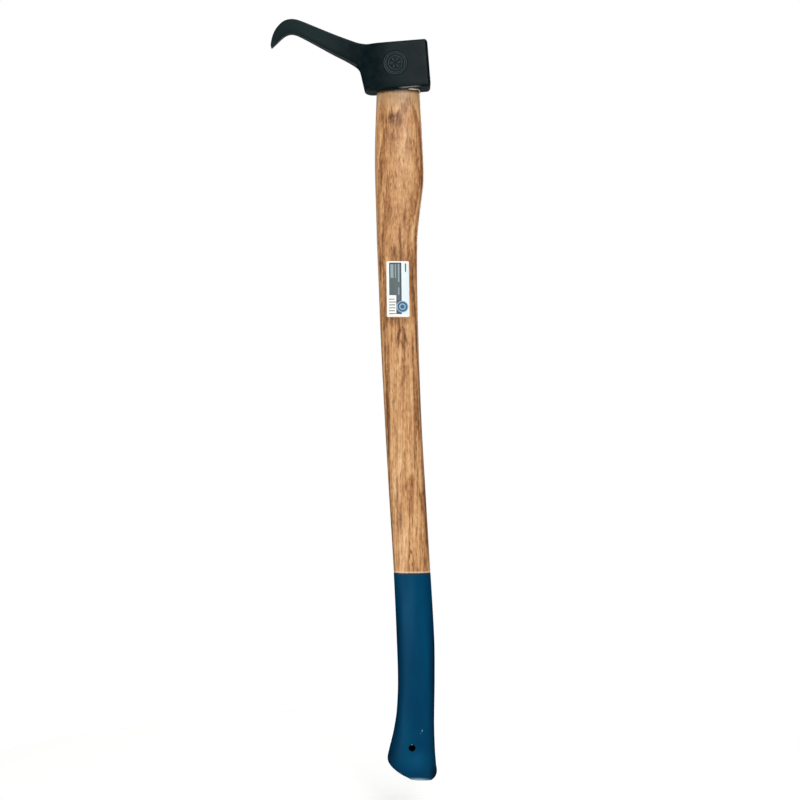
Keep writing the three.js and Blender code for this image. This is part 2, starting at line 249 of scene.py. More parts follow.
def ovalRings(centre, halfLength, halfWidth, fullness, tilt, steps):
    # rings of points (a sgn(cos)|cos|^(2/n), b sgn(sin)|sin|^(2/n)), each turned by its tilt from level
    angle = roundAngles(steps)[None, :]
    cos, sin = np.cos(angle), np.sin(angle)
    fullness = np.broadcast_to(np.asarray(fullness, float), halfLength.shape)[:, None]
    along = halfLength[:, None] * np.sign(cos) * np.abs(cos) ** (2 / fullness)
    across = -halfWidth[:, None] * np.sign(sin) * np.abs(sin) ** (2 / fullness)
    tilt = np.broadcast_to(np.asarray(tilt, float), halfLength.shape)[:, None]
    x = centre[:, 0:1] + along * np.cos(tilt)
    y = centre[:, 1:2] + across
    z = centre[:, 2:3] + along * np.sin(tilt)
    return np.stack([x, y, z], -1)


def handleSection(drops, inset=0.0):
    # centre, half length, half width, fullness and tilt at distances below the head
    s = handleSizes
    share = np.minimum(drops / (s["drop"] - inset), 1)
    centre = np.stack([s["bow"] * hermite(handleRows, 1, share), 0 * drops, -drops], -1)
    halfLength = s["width"] * hermite(handleRows, 2, share) / 2 - inset
    halfWidth = s["thickness"] * hermite(handleRows, 3, share) / 2 - inset
    level = smoothStep(drops, 0, s["tiltFade"])
    fullness = eyeSizes["fullness"] + (s["fullness"] - eyeSizes["fullness"]) * level
    return centre, halfLength, halfWidth, fullness, headSizes["tilt"] * (1 - level)


def handleRings(drops, inset=0.0, steps=None):
    # the handle's ovals at distances below the head, drawn in all round by the inset
    return ovalRings(*handleSection(drops, inset), steps or handleSizes["aroundSteps"])


def eyeRings(heights, grow, steps=None):
    # the eye's rings at heights above the underside, grown all round by the amounts in grow
    s = eyeSizes
    share = np.clip(heights / headSizes["height"], 0, 1)
    tilt = headSizes["tilt"]
    centre = np.stack([-heights * math.sin(tilt), 0 * heights, heights * math.cos(tilt)], -1)
    halfLength = (s["length"] + s["spread"] * share) / 2 + grow
    halfWidth = (s["width"] + s["flare"] * share) / 2 + grow
    return ovalRings(centre, halfLength, halfWidth, s["fullness"], tilt, steps or handleSizes["aroundSteps"])


def nearSurface(x, drops):
    # where the near side of the handle lies, at places across and down
    centre, halfLength, halfWidth, fullness, _ = handleSection(drops)
    across = np.clip(np.abs(x - centre[..., 0]) / halfLength, 0, 1)
    return -halfWidth * (1 - across ** fullness) ** (1 / fullness)


def withHeadTilt(points):
    # turns points drawn square to the head by its tilt about the origin
    tilt = headSizes["tilt"]
    x, y, z = points[..., 0], points[..., 1], points[..., 2]
    return np.stack([x * math.cos(tilt) - z * math.sin(tilt), y, x * math.sin(tilt) + z * math.cos(tilt)], -1)


# The head

armShares = [  # outer edge forward and up, inner edge forward and up, thickness
    [0.995, 0.180, 0.986, 0.168, 0.10],
    [0.999, 0.274, 0.963, 0.226, 0.20],
    [0.985, 0.426, 0.927, 0.317, 0.33],
    [0.961, 0.589, 0.879, 0.434, 0.44],
    [0.922, 0.760, 0.839, 0.520, 0.52],
    [0.851, 0.937, 0.801, 0.569, 0.58],
    [0.783, 1.000, 0.764, 0.583, 0.61],
    [0.716, 0.989, 0.724, 0.560, 0.63],
    [0.652, 0.929, 0.689, 0.517, 0.65],
    [0.556, 0.794, 0.633, 0.426, 0.68],
    [0.428, 0.609, 0.508, 0.206, 0.73],
    [0.236, 0.337, 0.328, -0.123, 0.82],
    [0.107, 0.171, 0.206, -0.323, 0.89],
    [0.026, 0.062, 0.117, -0.486, 0.95],
]
frontTopShares = [0.84, 0.76, 0.68, 0.60, 0.53, 0.47]
frontFallShares = [0, 0.16, 0.45, 0.70, 0.90, 1]
undersideTopShares = [0.40, 0.30, 0.20, 0.10, -0.05, -0.2, -0.4, -0.6, -0.75]
undersideFootShares = [0.85, 0.70, 0.50, 0.30, 0.10, -0.1, -0.35, -0.6, -0.75]


def armStations():
    # outer and inner edge points, forward and up, and the thickness, from the point to the neck
    s = headSizes
    arm = np.array(armShares)
    spans = len(arm) - 1
    places = np.linspace(0, spans, spans * s["armSteps"] + 1)
    table = np.column_stack([np.arange(len(arm)), arm])
    share = np.stack([hermite(table, column, places) for column in range(1, 6)], -1)
    scale = np.array([s["armReach"], s["beakRise"], s["armReach"], s["beakRise"], s["neckThickness"]])
    start = np.array([s["front"], s["height"], s["front"], s["height"], 0])
    return start + share * scale


def blockStations():
    # the same for the block: down its front from the neck, and along its underside to the poll
    s = headSizes
    fall = np.array(frontFallShares)
    inFront = np.stack([s["front"] * np.array(frontTopShares), 0 * fall + s["height"],
                        s["front"] + s["frontLean"] * (1 - fall),
                        s["neckHeight"] + (s["edge"] - s["neckHeight"]) * fall], -1)
    top = s["front"] * np.array(undersideTopShares)
    below = np.stack([top, 0 * top + s["height"], s["front"] * np.array(undersideFootShares), 0 * top], -1)
    coarse = np.vstack([inFront, below])
    places = np.linspace(0, len(coarse) - 1, (len(coarse) - 1) * s["blockSteps"] + 1)
    rows = np.stack([np.interp(places, np.arange(len(coarse)), coarse[:, column]) for column in range(4)], -1)
    closing = smoothStep(rows[:, 0], s["taperStart"], s["taperEnd"])
    thickness = s["thickness"] + (s["neckThickness"] - s["thickness"]) * closing
    return np.column_stack([rows, thickness])


def cheekHalf(forward, half):
    # half thickness at distances forward of the eye: the smaller of the section's own and a
    # falling parabola, blended where they meet by h^3 c / 6 with h = 1 - |difference| / c
    s = headSizes
    share = np.clip((forward - s["crownFrom"]) / s["crownLength"], 0, s["crownMost"])
    arc = s["thickness"] / 2 + s["crownLead"] - s["crown"] * share ** 2
    near = np.maximum(1 - np.abs(arc - half) / s["crownBlend"], 0)
    return np.minimum(arc, half) - near ** 3 * s["crownBlend"] / 6


def pollStations():
    # the poll draws in round its edges along a quarter circle
    s = headSizes
    angle = np.linspace(0, np.pi / 2, s["pollSteps"])
    forward = -(s["poll"] - s["pollRound"] + s["pollRound"] * np.sin(angle))
    drawn = s["pollRound"] * (1 - np.cos(angle))
    return np.stack([forward, s["height"] - drawn, forward, drawn, s["thickness"] - 2 * drawn], -1)


def easedStations(rows, first):
    # corners after the first rows are rounded by a bell-shaped mean over the neighbouring rings
    reach = 3 * headSizes["easing"]
    bell = np.exp(-0.5 * (np.arange(-reach, reach + 1) / headSizes["easing"]) ** 2)
    padded = np.pad(rows, ((reach, reach), (0, 0)), mode="edge")
    eased = np.stack([np.convolve(column, bell / bell.sum(), mode="valid") for column in padded.T], -1)
    order, last = np.arange(len(rows)), len(rows) - reach
    weight = smoothStep(order, first, first + reach) * (1 - smoothStep(order, last - reach, last))
    return rows + (eased - rows) * weight[:, None]


def forgedRings(rows, rounds):
    # each section is a rectangle between its two edge points, with its corners turned to arcs
    s = headSizes
    outer = np.stack([-rows[:, 0], 0 * rows[:, 0], rows[:, 1]], -1)
    inner = np.stack([-rows[:, 2], 0 * rows[:, 2], rows[:, 3]], -1)
    up = outer - inner
    halfHeight = np.linalg.norm(up, axis=1) / 2
    up = up / (2 * halfHeight[:, None])
    halfWidth = rows[:, 4] / 2
    radius = np.minimum(rounds, s["fullest"] * np.minimum(halfHeight, halfWidth))[:, None]
    corners = []
    for corner, (side, end) in enumerate([(1, 1), (-1, 1), (-1, -1), (1, -1)]):
        angle = (corner + np.linspace(0, 1, s["cornerSteps"] + 1)) * np.pi / 2
        across = side * (halfWidth[:, None] - radius) + radius * np.cos(angle)
        along = end * (halfHeight[:, None] - radius) + radius * np.sin(angle)
        corners.append(np.stack([across, along], -1))
    outline = []
    share = np.linspace(0, 1, s["sideSteps"] + 1)[1:-1][None, :, None]
    for corner in range(4):
        here, after = corners[corner], corners[(corner + 1) % 4]
        outline += [here, here[:, -1:] + (after[:, :1] - here[:, -1:]) * share]
    outline = np.concatenate(outline, 1)
    points = (outer + inner)[:, None, :] / 2 + up[:, None, :] * outline[..., 1:2]
    points[..., 1] += outline[..., 0]
    return points


def unevenness(points, size):
    # a slow wave over a surface, from products of sines of the place
    x, y, z = (points[..., axis] / size for axis in range(3))
    return np.sin(x + 1.3 * np.sin(0.7 * z)) * np.cos(1.1 * z + 0.8 * np.sin(y + 0.4 * x))


def makeHead():
    # one run of rings from the beak's point down the arm and through the block to the poll, its
    # cheeks narrowed to the crown, less the eye with its rounded mouths and less the recess
    s = headSizes
    arm, block, poll = armStations(), blockStations(), pollStations()
    bridge = np.linspace(0, 1, s["blockSteps"], endpoint=False)[1:, None]
    rows = np.vstack([arm, arm[-1] + (block[0] - arm[-1]) * bridge, block])
    rows = easedStations(rows, 3 * s["armSteps"])
    toBlock = smoothStep(np.arange(len(rows)), len(arm) - s["armSteps"], len(arm) + 2 * s["blockSteps"])
    rounds = s["armEdge"] * rows[:, 4] * (1 - toBlock) + s["edge"] * toBlock
    rows = np.vstack([rows, poll])
    rings = forgedRings(rows, np.concatenate([rounds, np.full(len(poll), s["edge"])]))
    half = rows[:, 4:5] / 2
    rings[..., 1] *= cheekHalf(-rings[..., 0], half) / half
    rings[..., 1] *= 1 + s["hammerShare"] * unevenness(rings, s["hammerSize"])
    head = closedGrid("hook_head_forging", withHeadTilt(rings))
    rim = eyeSizes["mouthRound"]
    depth, grow = quarterTurn(rim)
    depth[0] = -s["clear"]
    depth = np.concatenate([[-3 * rim], depth])
    grow = np.concatenate([[rim], grow])
    heights = np.concatenate([s["height"] - depth, depth[::-1]])
    cutWith(head, closedGrid("eye_cut", eyeRings(heights, np.concatenate([grow, grow[::-1]]))))
    cutWith(head, recessCut())
    shadeSmooth(head, s["crease"])
    return head


def recessCut():
    # a disc across the cheek whose wall slopes; the face that it leaves has two raised rings
    # and a plain rosette, each a bell-shaped ridge over the distance from the middle
    s = headSizes
    inside = np.arange(s["recess"] - s["recessDepth"], s["recessHub"], -s["recessStep"])
    radius = np.concatenate([[s["recess"] + s["edge"]], inside])[:, None]
    angle = roundAngles(s["recessAround"])[None, :]
    ridge = sum(np.exp(-((radius - middle) / s["ridgeWidth"]) ** 2) for middle in s["ridges"])
    petal = np.exp(-((radius - s["petalRadius"]) / s["petalReach"]) ** 4)
    petal = petal * np.clip(np.cos(s["petals"] * angle), 0, 1)
    depth = s["recessDepth"] - s["relief"] * np.clip(ridge + petal, 0, 1)
    depth[0] = -s["edge"]
    x = -s["recessForward"] + radius * np.cos(angle)
    y = depth - cheekHalf(-x, s["thickness"] / 2)
    z = s["recessRise"] - radius * np.sin(angle)
    return closedGrid("recess_cut", withHeadTilt(np.stack([x, y, z], -1)))


# The handle and what is driven into it

coatSizes = {
    "length": 223,  # upwards from the end of the knob
    "thickness": 0.6,
    "proud": 0.2,  # above the bare wood
    "rim": 0.3,  # rounding of the upper edge
    "ringStep": 4,
    "hole": 7.2,  # hanging hole, inside the coating
    "holeRise": 37,  # its centre above the end of the knob
    "holeForward": 5,  # in front of the furthest drift of the centre line
    "holeRound": 0.8,  # rounding of its rim
    "holeAround": 72,
    "lining": 0.4,  # a near black sheet on the hole's wall, painted shade inside the hole
    "slack": 0.05,
    "rimSteps": 5,
    "holeSteps": 9,
    "crease": 38,
}
wedgeSizes = {
    "depth": 34,  # of the wooden wedge in its kerf
    "top": 5,  # thickness at the driven end
    "tip": 1.4,
    "stand": 0.3,  # driven end above the handle's end
    "ring": 20,  # steel ring wedge, outside
    "ringWall": 2,
    "ringEdge": 0.8,  # wall at the cutting edge
    "ringDepth": 12,
    "ringRound": 0.35,
    "ringStand": 0.15,
    "gap": 0.1,
    "over": 3,  # how far a cutting body runs past the wood
    "rings": 12,
    "around": 96,
    "woodCrease": 30,
    "steelCrease": 50,
}


def holeRings(radii, y):
    # rings about the hanging hole's axis, each with its radius and its place across the knob
    s = coatSizes
    angle = roundAngles(s["holeAround"])
    x = handleSizes["bow"] - s["holeForward"] + radii[:, None] * np.cos(angle)
    z = s["holeRise"] - handleSizes["drop"] + radii[:, None] * np.sin(angle)
    return np.stack([x, np.broadcast_to(y[:, None], x.shape), z], -1)


def holeFace():
    # from the middle plane to the coating's surface at the hole
    s = coatSizes
    across = np.array([handleSizes["bow"] - s["holeForward"]])
    drop = np.array([handleSizes["drop"] - s["holeRise"]])
    return s["proud"] - float(nearSurface(across, drop)[0])


def holeCut(name, radius, flare):
    # a cylinder across the knob whose ends open out round the rims
    face = holeFace()
    depth, grow = quarterTurn(flare, coatSizes["holeSteps"])
    depth = np.concatenate([[-wedgeSizes["over"]], depth])
    grow = np.concatenate([[flare], grow])
    return closedGrid(name, holeRings(radius + np.concatenate([grow, grow[::-1]]),
                                      np.concatenate([face - depth, (depth - face)[::-1]])))


def ringWedgeRings(gap):
    # a loop of profile points, wide at the driven end, each carried round the head's axis
    s = wedgeSizes
    top = headSizes["height"] + eyeSizes["proud"] + (s["over"] if gap else s["ringStand"])
    bottom = headSizes["height"] + eyeSizes["proud"] - s["ringDepth"] - gap
    outer, inner = s["ring"] / 2 + gap, s["ring"] / 2 - s["ringWall"] - gap
    middle, edge, soft = (outer + inner) / 2, s["ringEdge"] / 2 + gap, s["ringRound"]
    profile = np.array([[middle - edge, bottom], [inner, top - soft], [inner + soft / 3, top - soft / 3],
                        [inner + soft, top], [outer - soft, top], [outer - soft / 3, top - soft / 3],
                        [outer, top - soft], [middle + edge, bottom]])
    angle = roundAngles(s["around"])
    x = profile[:, 0:1] * np.cos(angle)
    y = -profile[:, 0:1] * np.sin(angle)
    return withHeadTilt(np.stack([x, y, np.broadcast_to(profile[:, 1:2], x.shape)], -1))


def wedgeRings(gap):
    # the eye's oval with its sides cut off flat where they pass the wedge's thickness
    s = wedgeSizes
    end = headSizes["height"] + eyeSizes["proud"]
    heights = np.linspace(end + (s["over"] if gap else s["stand"]), end - s["depth"] - gap, s["rings"])
    share = np.clip((end - heights) / s["depth"], 0, 1)
    halfThick = ((s["top"] + (s["tip"] - s["top"]) * share) / 2 + gap)[:, None]
    rings = eyeRings(heights, np.full(len(heights), s["over"] if gap else -eyeSizes["slack"]))
    rings[..., 1] = np.clip(rings[..., 1], -halfThick, halfThick)
    return rings


def knobDrops(start, inset, step):
    # distances below the head, even down to the knob and then closing up towards its end
    s = handleSizes
    end = s["drop"] - inset
    knob = end * s["knobStart"]
    plain = np.linspace(start, knob, int((knob - start) / step))
    turn = np.linspace(0, np.pi / 2, s["knobRings"])[1:]
    return np.concatenate([plain, knob + (end - knob) * np.sin(turn)])


def makeHandle():
    # one run of ovals: the tongue in the eye, the bare wood, and the wood under the coating, drawn
    # in by the coating's depth; less the kerf, the ring wedge's groove and the hanging hole
    s = handleSizes
    end = headSizes["height"] + eyeSizes["proud"]
    depth, drawn = quarterTurn(s["endRound"])
    below = np.linspace(end - s["endRound"], 0, s["tongueRings"] + 1)[1:]
    heights = np.concatenate([end - depth, below])
    drawn = np.concatenate([drawn, 0 * below]) + eyeSizes["slack"]
    tongue = eyeRings(heights, -drawn)
    shoulder = s["drop"] - coatSizes["length"]
    inset = coatSizes["thickness"] - coatSizes["proud"] + coatSizes["slack"]
    bare = handleRings(np.linspace(0, shoulder, int(shoulder / s["ringStep"]))[1:])
    under = handleRings(knobDrops(shoulder, inset, coatSizes["ringStep"]), inset)
    wood = closedGrid("hickory_handle", np.concatenate([tongue, bare, under]))
    cutWith(wood, closedGrid("kerf_cut", wedgeRings(wedgeSizes["gap"])))
    cutWith(wood, loopGrid("groove_cut", ringWedgeRings(wedgeSizes["gap"])))
    wall = np.full(2, coatSizes["hole"] / 2 + coatSizes["lining"] + coatSizes["slack"])
    cutWith(wood, closedGrid("hole_cut", holeRings(wall, np.array([s["thickness"], -s["thickness"]]))))
    shadeSmooth(wood, s["crease"])
    return wood


def makeEyeWedge():
    # the kerf's own shape without its gap, less the ring wedge's groove
    wedge = closedGrid("beech_eye_wedge", wedgeRings(0))
    cutWith(wedge, loopGrid("groove_cut", ringWedgeRings(wedgeSizes["gap"])))
    shadeSmooth(wedge, wedgeSizes["woodCrease"])
    return wedge


def makeRingWedge():
    # the loop of profile points as it is, without its gap
    ring = loopGrid("steel_ring_wedge", ringWedgeRings(0))
    shadeSmooth(ring, wedgeSizes["steelCrease"])
    return ring


def makeCoating():
    # outside minus the wood's space and the hole, with the upper edge rounded in
    s = coatSizes
    top = handleSizes["drop"] - s["length"]
    depth, drawn = quarterTurn(s["rim"], s["rimSteps"])
    rim = handleRings(top + depth, drawn - s["proud"])
    below = handleRings(knobDrops(top + s["rim"], -s["proud"], s["ringStep"])[1:], -s["proud"])
    coating = closedGrid("dipped_grip_coating", np.concatenate([rim, below]))
    inset = s["thickness"] - s["proud"]
    drops = knobDrops(top - wedgeSizes["over"], inset, s["ringStep"])
    cutWith(coating, closedGrid("wood_space", handleRings(drops, inset)))
    cutWith(coating, holeCut("hole_cut", s["hole"] / 2, s["holeRound"]))
    shadeSmooth(coating, s["crease"])
    return coating


def makeHoleShadeSheet():
    # a thin near black tube on the hole's wall, from just inside one rim to just inside the other: painted
    # shade inside the hole
    s = coatSizes
    reach = holeFace() - s["holeRound"]
    outer = s["hole"] / 2 + s["lining"]
    rings = holeRings(np.array([outer, outer, s["hole"] / 2, s["hole"] / 2]),
                      np.array([reach, -reach, -reach, reach]))
    lining = loopGrid("hole_shade_sheet", rings)
    shadeSmooth(lining, s["crease"])
    return lining


labelSizes = {
    "width": 24.4,
    "height": 60,
    "drop": 215.5,  # head's underside to the label's middle
    "shift": -0.3,  # off the handle's centre line
    "lean": 0.012,  # how far it drifts across, per length
    "thickness": 0.15,
    "stand": 0.05,  # between the sheet's back and the wood
    "columns": 40,
    "rows": 60,
    "corner": 0.8,  # rounding of its corners
    "lift": 0.25,  # how far the worn lower right corner stands off
    "liftFrom": 1.75,  # shares right and down, summed, from which it does
}


def makeLabel():
    # a sheet bent onto the near side of the handle, with a UV map that runs 0 to 1 across and up
    s = labelSizes
    u, v = np.meshgrid(np.linspace(0, 1, s["columns"] + 1), np.linspace(0, 1, s["rows"] + 1))
    centre = handleSection(np.array([float(s["drop"])]))[0][0, 0]
    up = (v - 0.5) * s["height"]
    fromEnd = s["height"] / 2 - np.abs(up)
    inCorner = np.clip(s["corner"] - fromEnd, 0, s["corner"])
    halfWidth = s["width"] / 2 - (s["corner"] - np.sqrt(s["corner"] ** 2 - inCorner ** 2))
    x = centre + s["shift"] - s["lean"] * up + (2 * u - 1) * halfWidth
    drops = s["drop"] - up
    lift = s["lift"] * smoothStep(u + 1 - v, s["liftFrom"], 2)
    y = nearSurface(x, drops) - s["stand"] - lift
    rows, columns = u.shape
    row, column = np.meshgrid(np.arange(rows - 1), np.arange(columns - 1), indexing="ij")
    here = row * columns + column
    quads = np.stack([here, here + 1, here + columns + 1, here + columns], -1).reshape(-1, 4)
    points = np.stack([x, y, -drops], -1).reshape(-1, 3)
    label = meshPiece("paper_label_sheet", points, quads, np.zeros((0, 3), int))
    places = label.data.uv_layers.new(name="sheet")
    corners = np.stack([u.ravel(), v.ravel()], -1)[quads.ravel()]
    places.data.foreach_set("uv", corners.astype(np.float32).ravel())
    wall = label.modifiers.new("paper", "SOLIDIFY")
    wall.thickness = s["thickness"] * mm
    wall.offset = 1
    label.data.shade_smooth()
    return label


shavingSizes = {
    "from": 11,  # along the near side of the mouth
    "to": 24.2,
    "thick": 2.0,
    "flat": 0.8,  # height as a share of thickness
    "stand": 1.7,  # out from the mouth's wall
    "reach": 2.1,  # and past the mouth's end
    "below": 1.0,  # under the head
    "curl": 14,  # how steeply the loose end hangs
    "curlFrom": 0.7,  # share of its length from which it does
    "wave": 0.25,  # height of its waves
    "waves": 9,  # and their angle from end to end
    "tip": 0.12,  # least share of its thickness
    "bulge": (0.8, 0.6),  # powers that shift and flatten its thickest part
    "around": 14,
    "along": 60,
    "crease": 60,
}


def makeShaving():
    # a tapering tube round the mouth's oval: wood that the eye's edge pared off as the head went on
    s = shavingSizes
    share = np.linspace(0, 1, s["along"])
    x = s["from"] + (s["to"] - s["from"]) * share
    across = x / (eyeSizes["length"] / 2 + s["reach"])
    width = eyeSizes["width"] / 2 + s["stand"]
    y = -width * (1 - across ** eyeSizes["fullness"]) ** (1 / eyeSizes["fullness"])
    hang = s["curl"] * smoothStep(share, s["curlFrom"], 1) * (share - s["curlFrom"])
    z = -s["below"] - hang + s["wave"] * np.sin(s["waves"] * share)
    path = withHeadTilt(np.stack([x, y, z], -1))
    ahead = np.gradient(path, axis=0)
    ahead /= np.linalg.norm(ahead, axis=1, keepdims=True)
    side = np.cross(ahead, [0, 0, 1.0])
    side /= np.linalg.norm(side, axis=1, keepdims=True)
    rise = np.cross(side, ahead)
    shift, power = s["bulge"]
    radius = s["thick"] / 2 * (s["tip"] + (1 - s["tip"]) * np.sin(np.pi * share ** shift) ** power)
    angle = roundAngles(s["around"])
    rings = (path[:, None] + side[:, None] * (radius[:, None] * np.cos(angle))[..., None]
             - rise[:, None] * (s["flat"] * radius[:, None] * np.sin(angle))[..., None])
    shaving = closedGrid("wood_shaving", rings)
    shadeSmooth(shaving, s["crease"])
    return shaving


# Materials

smooth = "SMOOTHSTEP"
noiseMean = 0.5


def linear(colour):
    # an sRGB hex colour as the linear values that a shader takes
    parts = [int(colour[place:place + 2], 16) / 255 for place in (1, 3, 5)]
    return [part / 12.92 if part <= 0.04045 else ((part + 0.055) / 1.055) ** 2.4 for part in parts] + [1]


def addNode(tree, kind, inputs=(), output=0, stops=None, **settings):
    # adds a node and returns one of its outputs: its inputs are values or links from sockets, each
    # under its name or number, or in order from the first one on
    node = tree.nodes.new("ShaderNode" + kind)
    for name, value in settings.items():
        setattr(node, name, value)
    places = inputs if isinstance(inputs, dict) else dict(enumerate(inputs))
    for place, value in places.items():
        if isinstance(value, bpy.types.NodeSocket):
            tree.links.new(value, node.inputs[place])
        else:
            node.inputs[place].default_value = value
    if stops:
        while len(node.color_ramp.elements) < len(stops):
            node.color_ramp.elements.new(1)
        for element, (place, colour) in zip(node.color_ramp.elements, stops):
            element.position = place
            element.color = linear(colour)
    return node.outputs[output] if node.outputs else node


def newMaterial(name):
    # a material with no nodes yet, and its tree
    material = bpy.data.materials.new(name)
    material.use_nodes = True
    material.node_tree.nodes.clear()
    return material, material.node_tree


def finishMaterial(tree, values, relief=None):
    # ends a material in its shader, over a relief with its strength, depth in mm and height
    if relief:
        strength, depth, height = relief
        values["Normal"] = addNode(tree, "Bump", {
            "Strength": strength, "Distance": depth * mm, "Height": height})
    addNode(tree, "OutputMaterial", {"Surface": addNode(tree, "BsdfPrincipled", values)})


def dress(piece, material, slot, *nodes):
    # gives a piece its material and the CAD nodes that it stands for; its slot in the record is not used
    piece.data.materials.clear()
    piece.data.materials.append(material)
    piece.data.polygons.foreach_set("material_index", np.zeros(len(piece.data.polygons), np.int32))
    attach(piece, "root")
    if nodes:
        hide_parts(*nodes)


def inMillimetres(tree):
    # the place on a piece, which lies at the origin
    place = addNode(tree, "TexCoord", output="Object")
    return addNode(tree, "VectorMath", (place, [1 / mm] * 3), operation="MULTIPLY")


def softRim(tree, level, start, end):
    # a specular level that fades out where the surface turns away, so that no pale rim shows
    facing = addNode(tree, "LayerWeight", {"Blend": 0.5}, "Facing")
    return addNode(tree, "MapRange", (facing, start, end, level, 0))


def patch(tree, place, centre, reach):
    # 1 at the centre of an ellipsoid in millimetres, falling smoothly to 0 at its surface
    off = addNode(tree, "VectorMath", (place, centre), operation="SUBTRACT")
    off = addNode(tree, "VectorMath", (off, reach), operation="DIVIDE")
    away = addNode(tree, "VectorMath", (off,), "Value", operation="LENGTH")
    return addNode(tree, "MapRange", (away, 1, 0), interpolation_type=smooth)


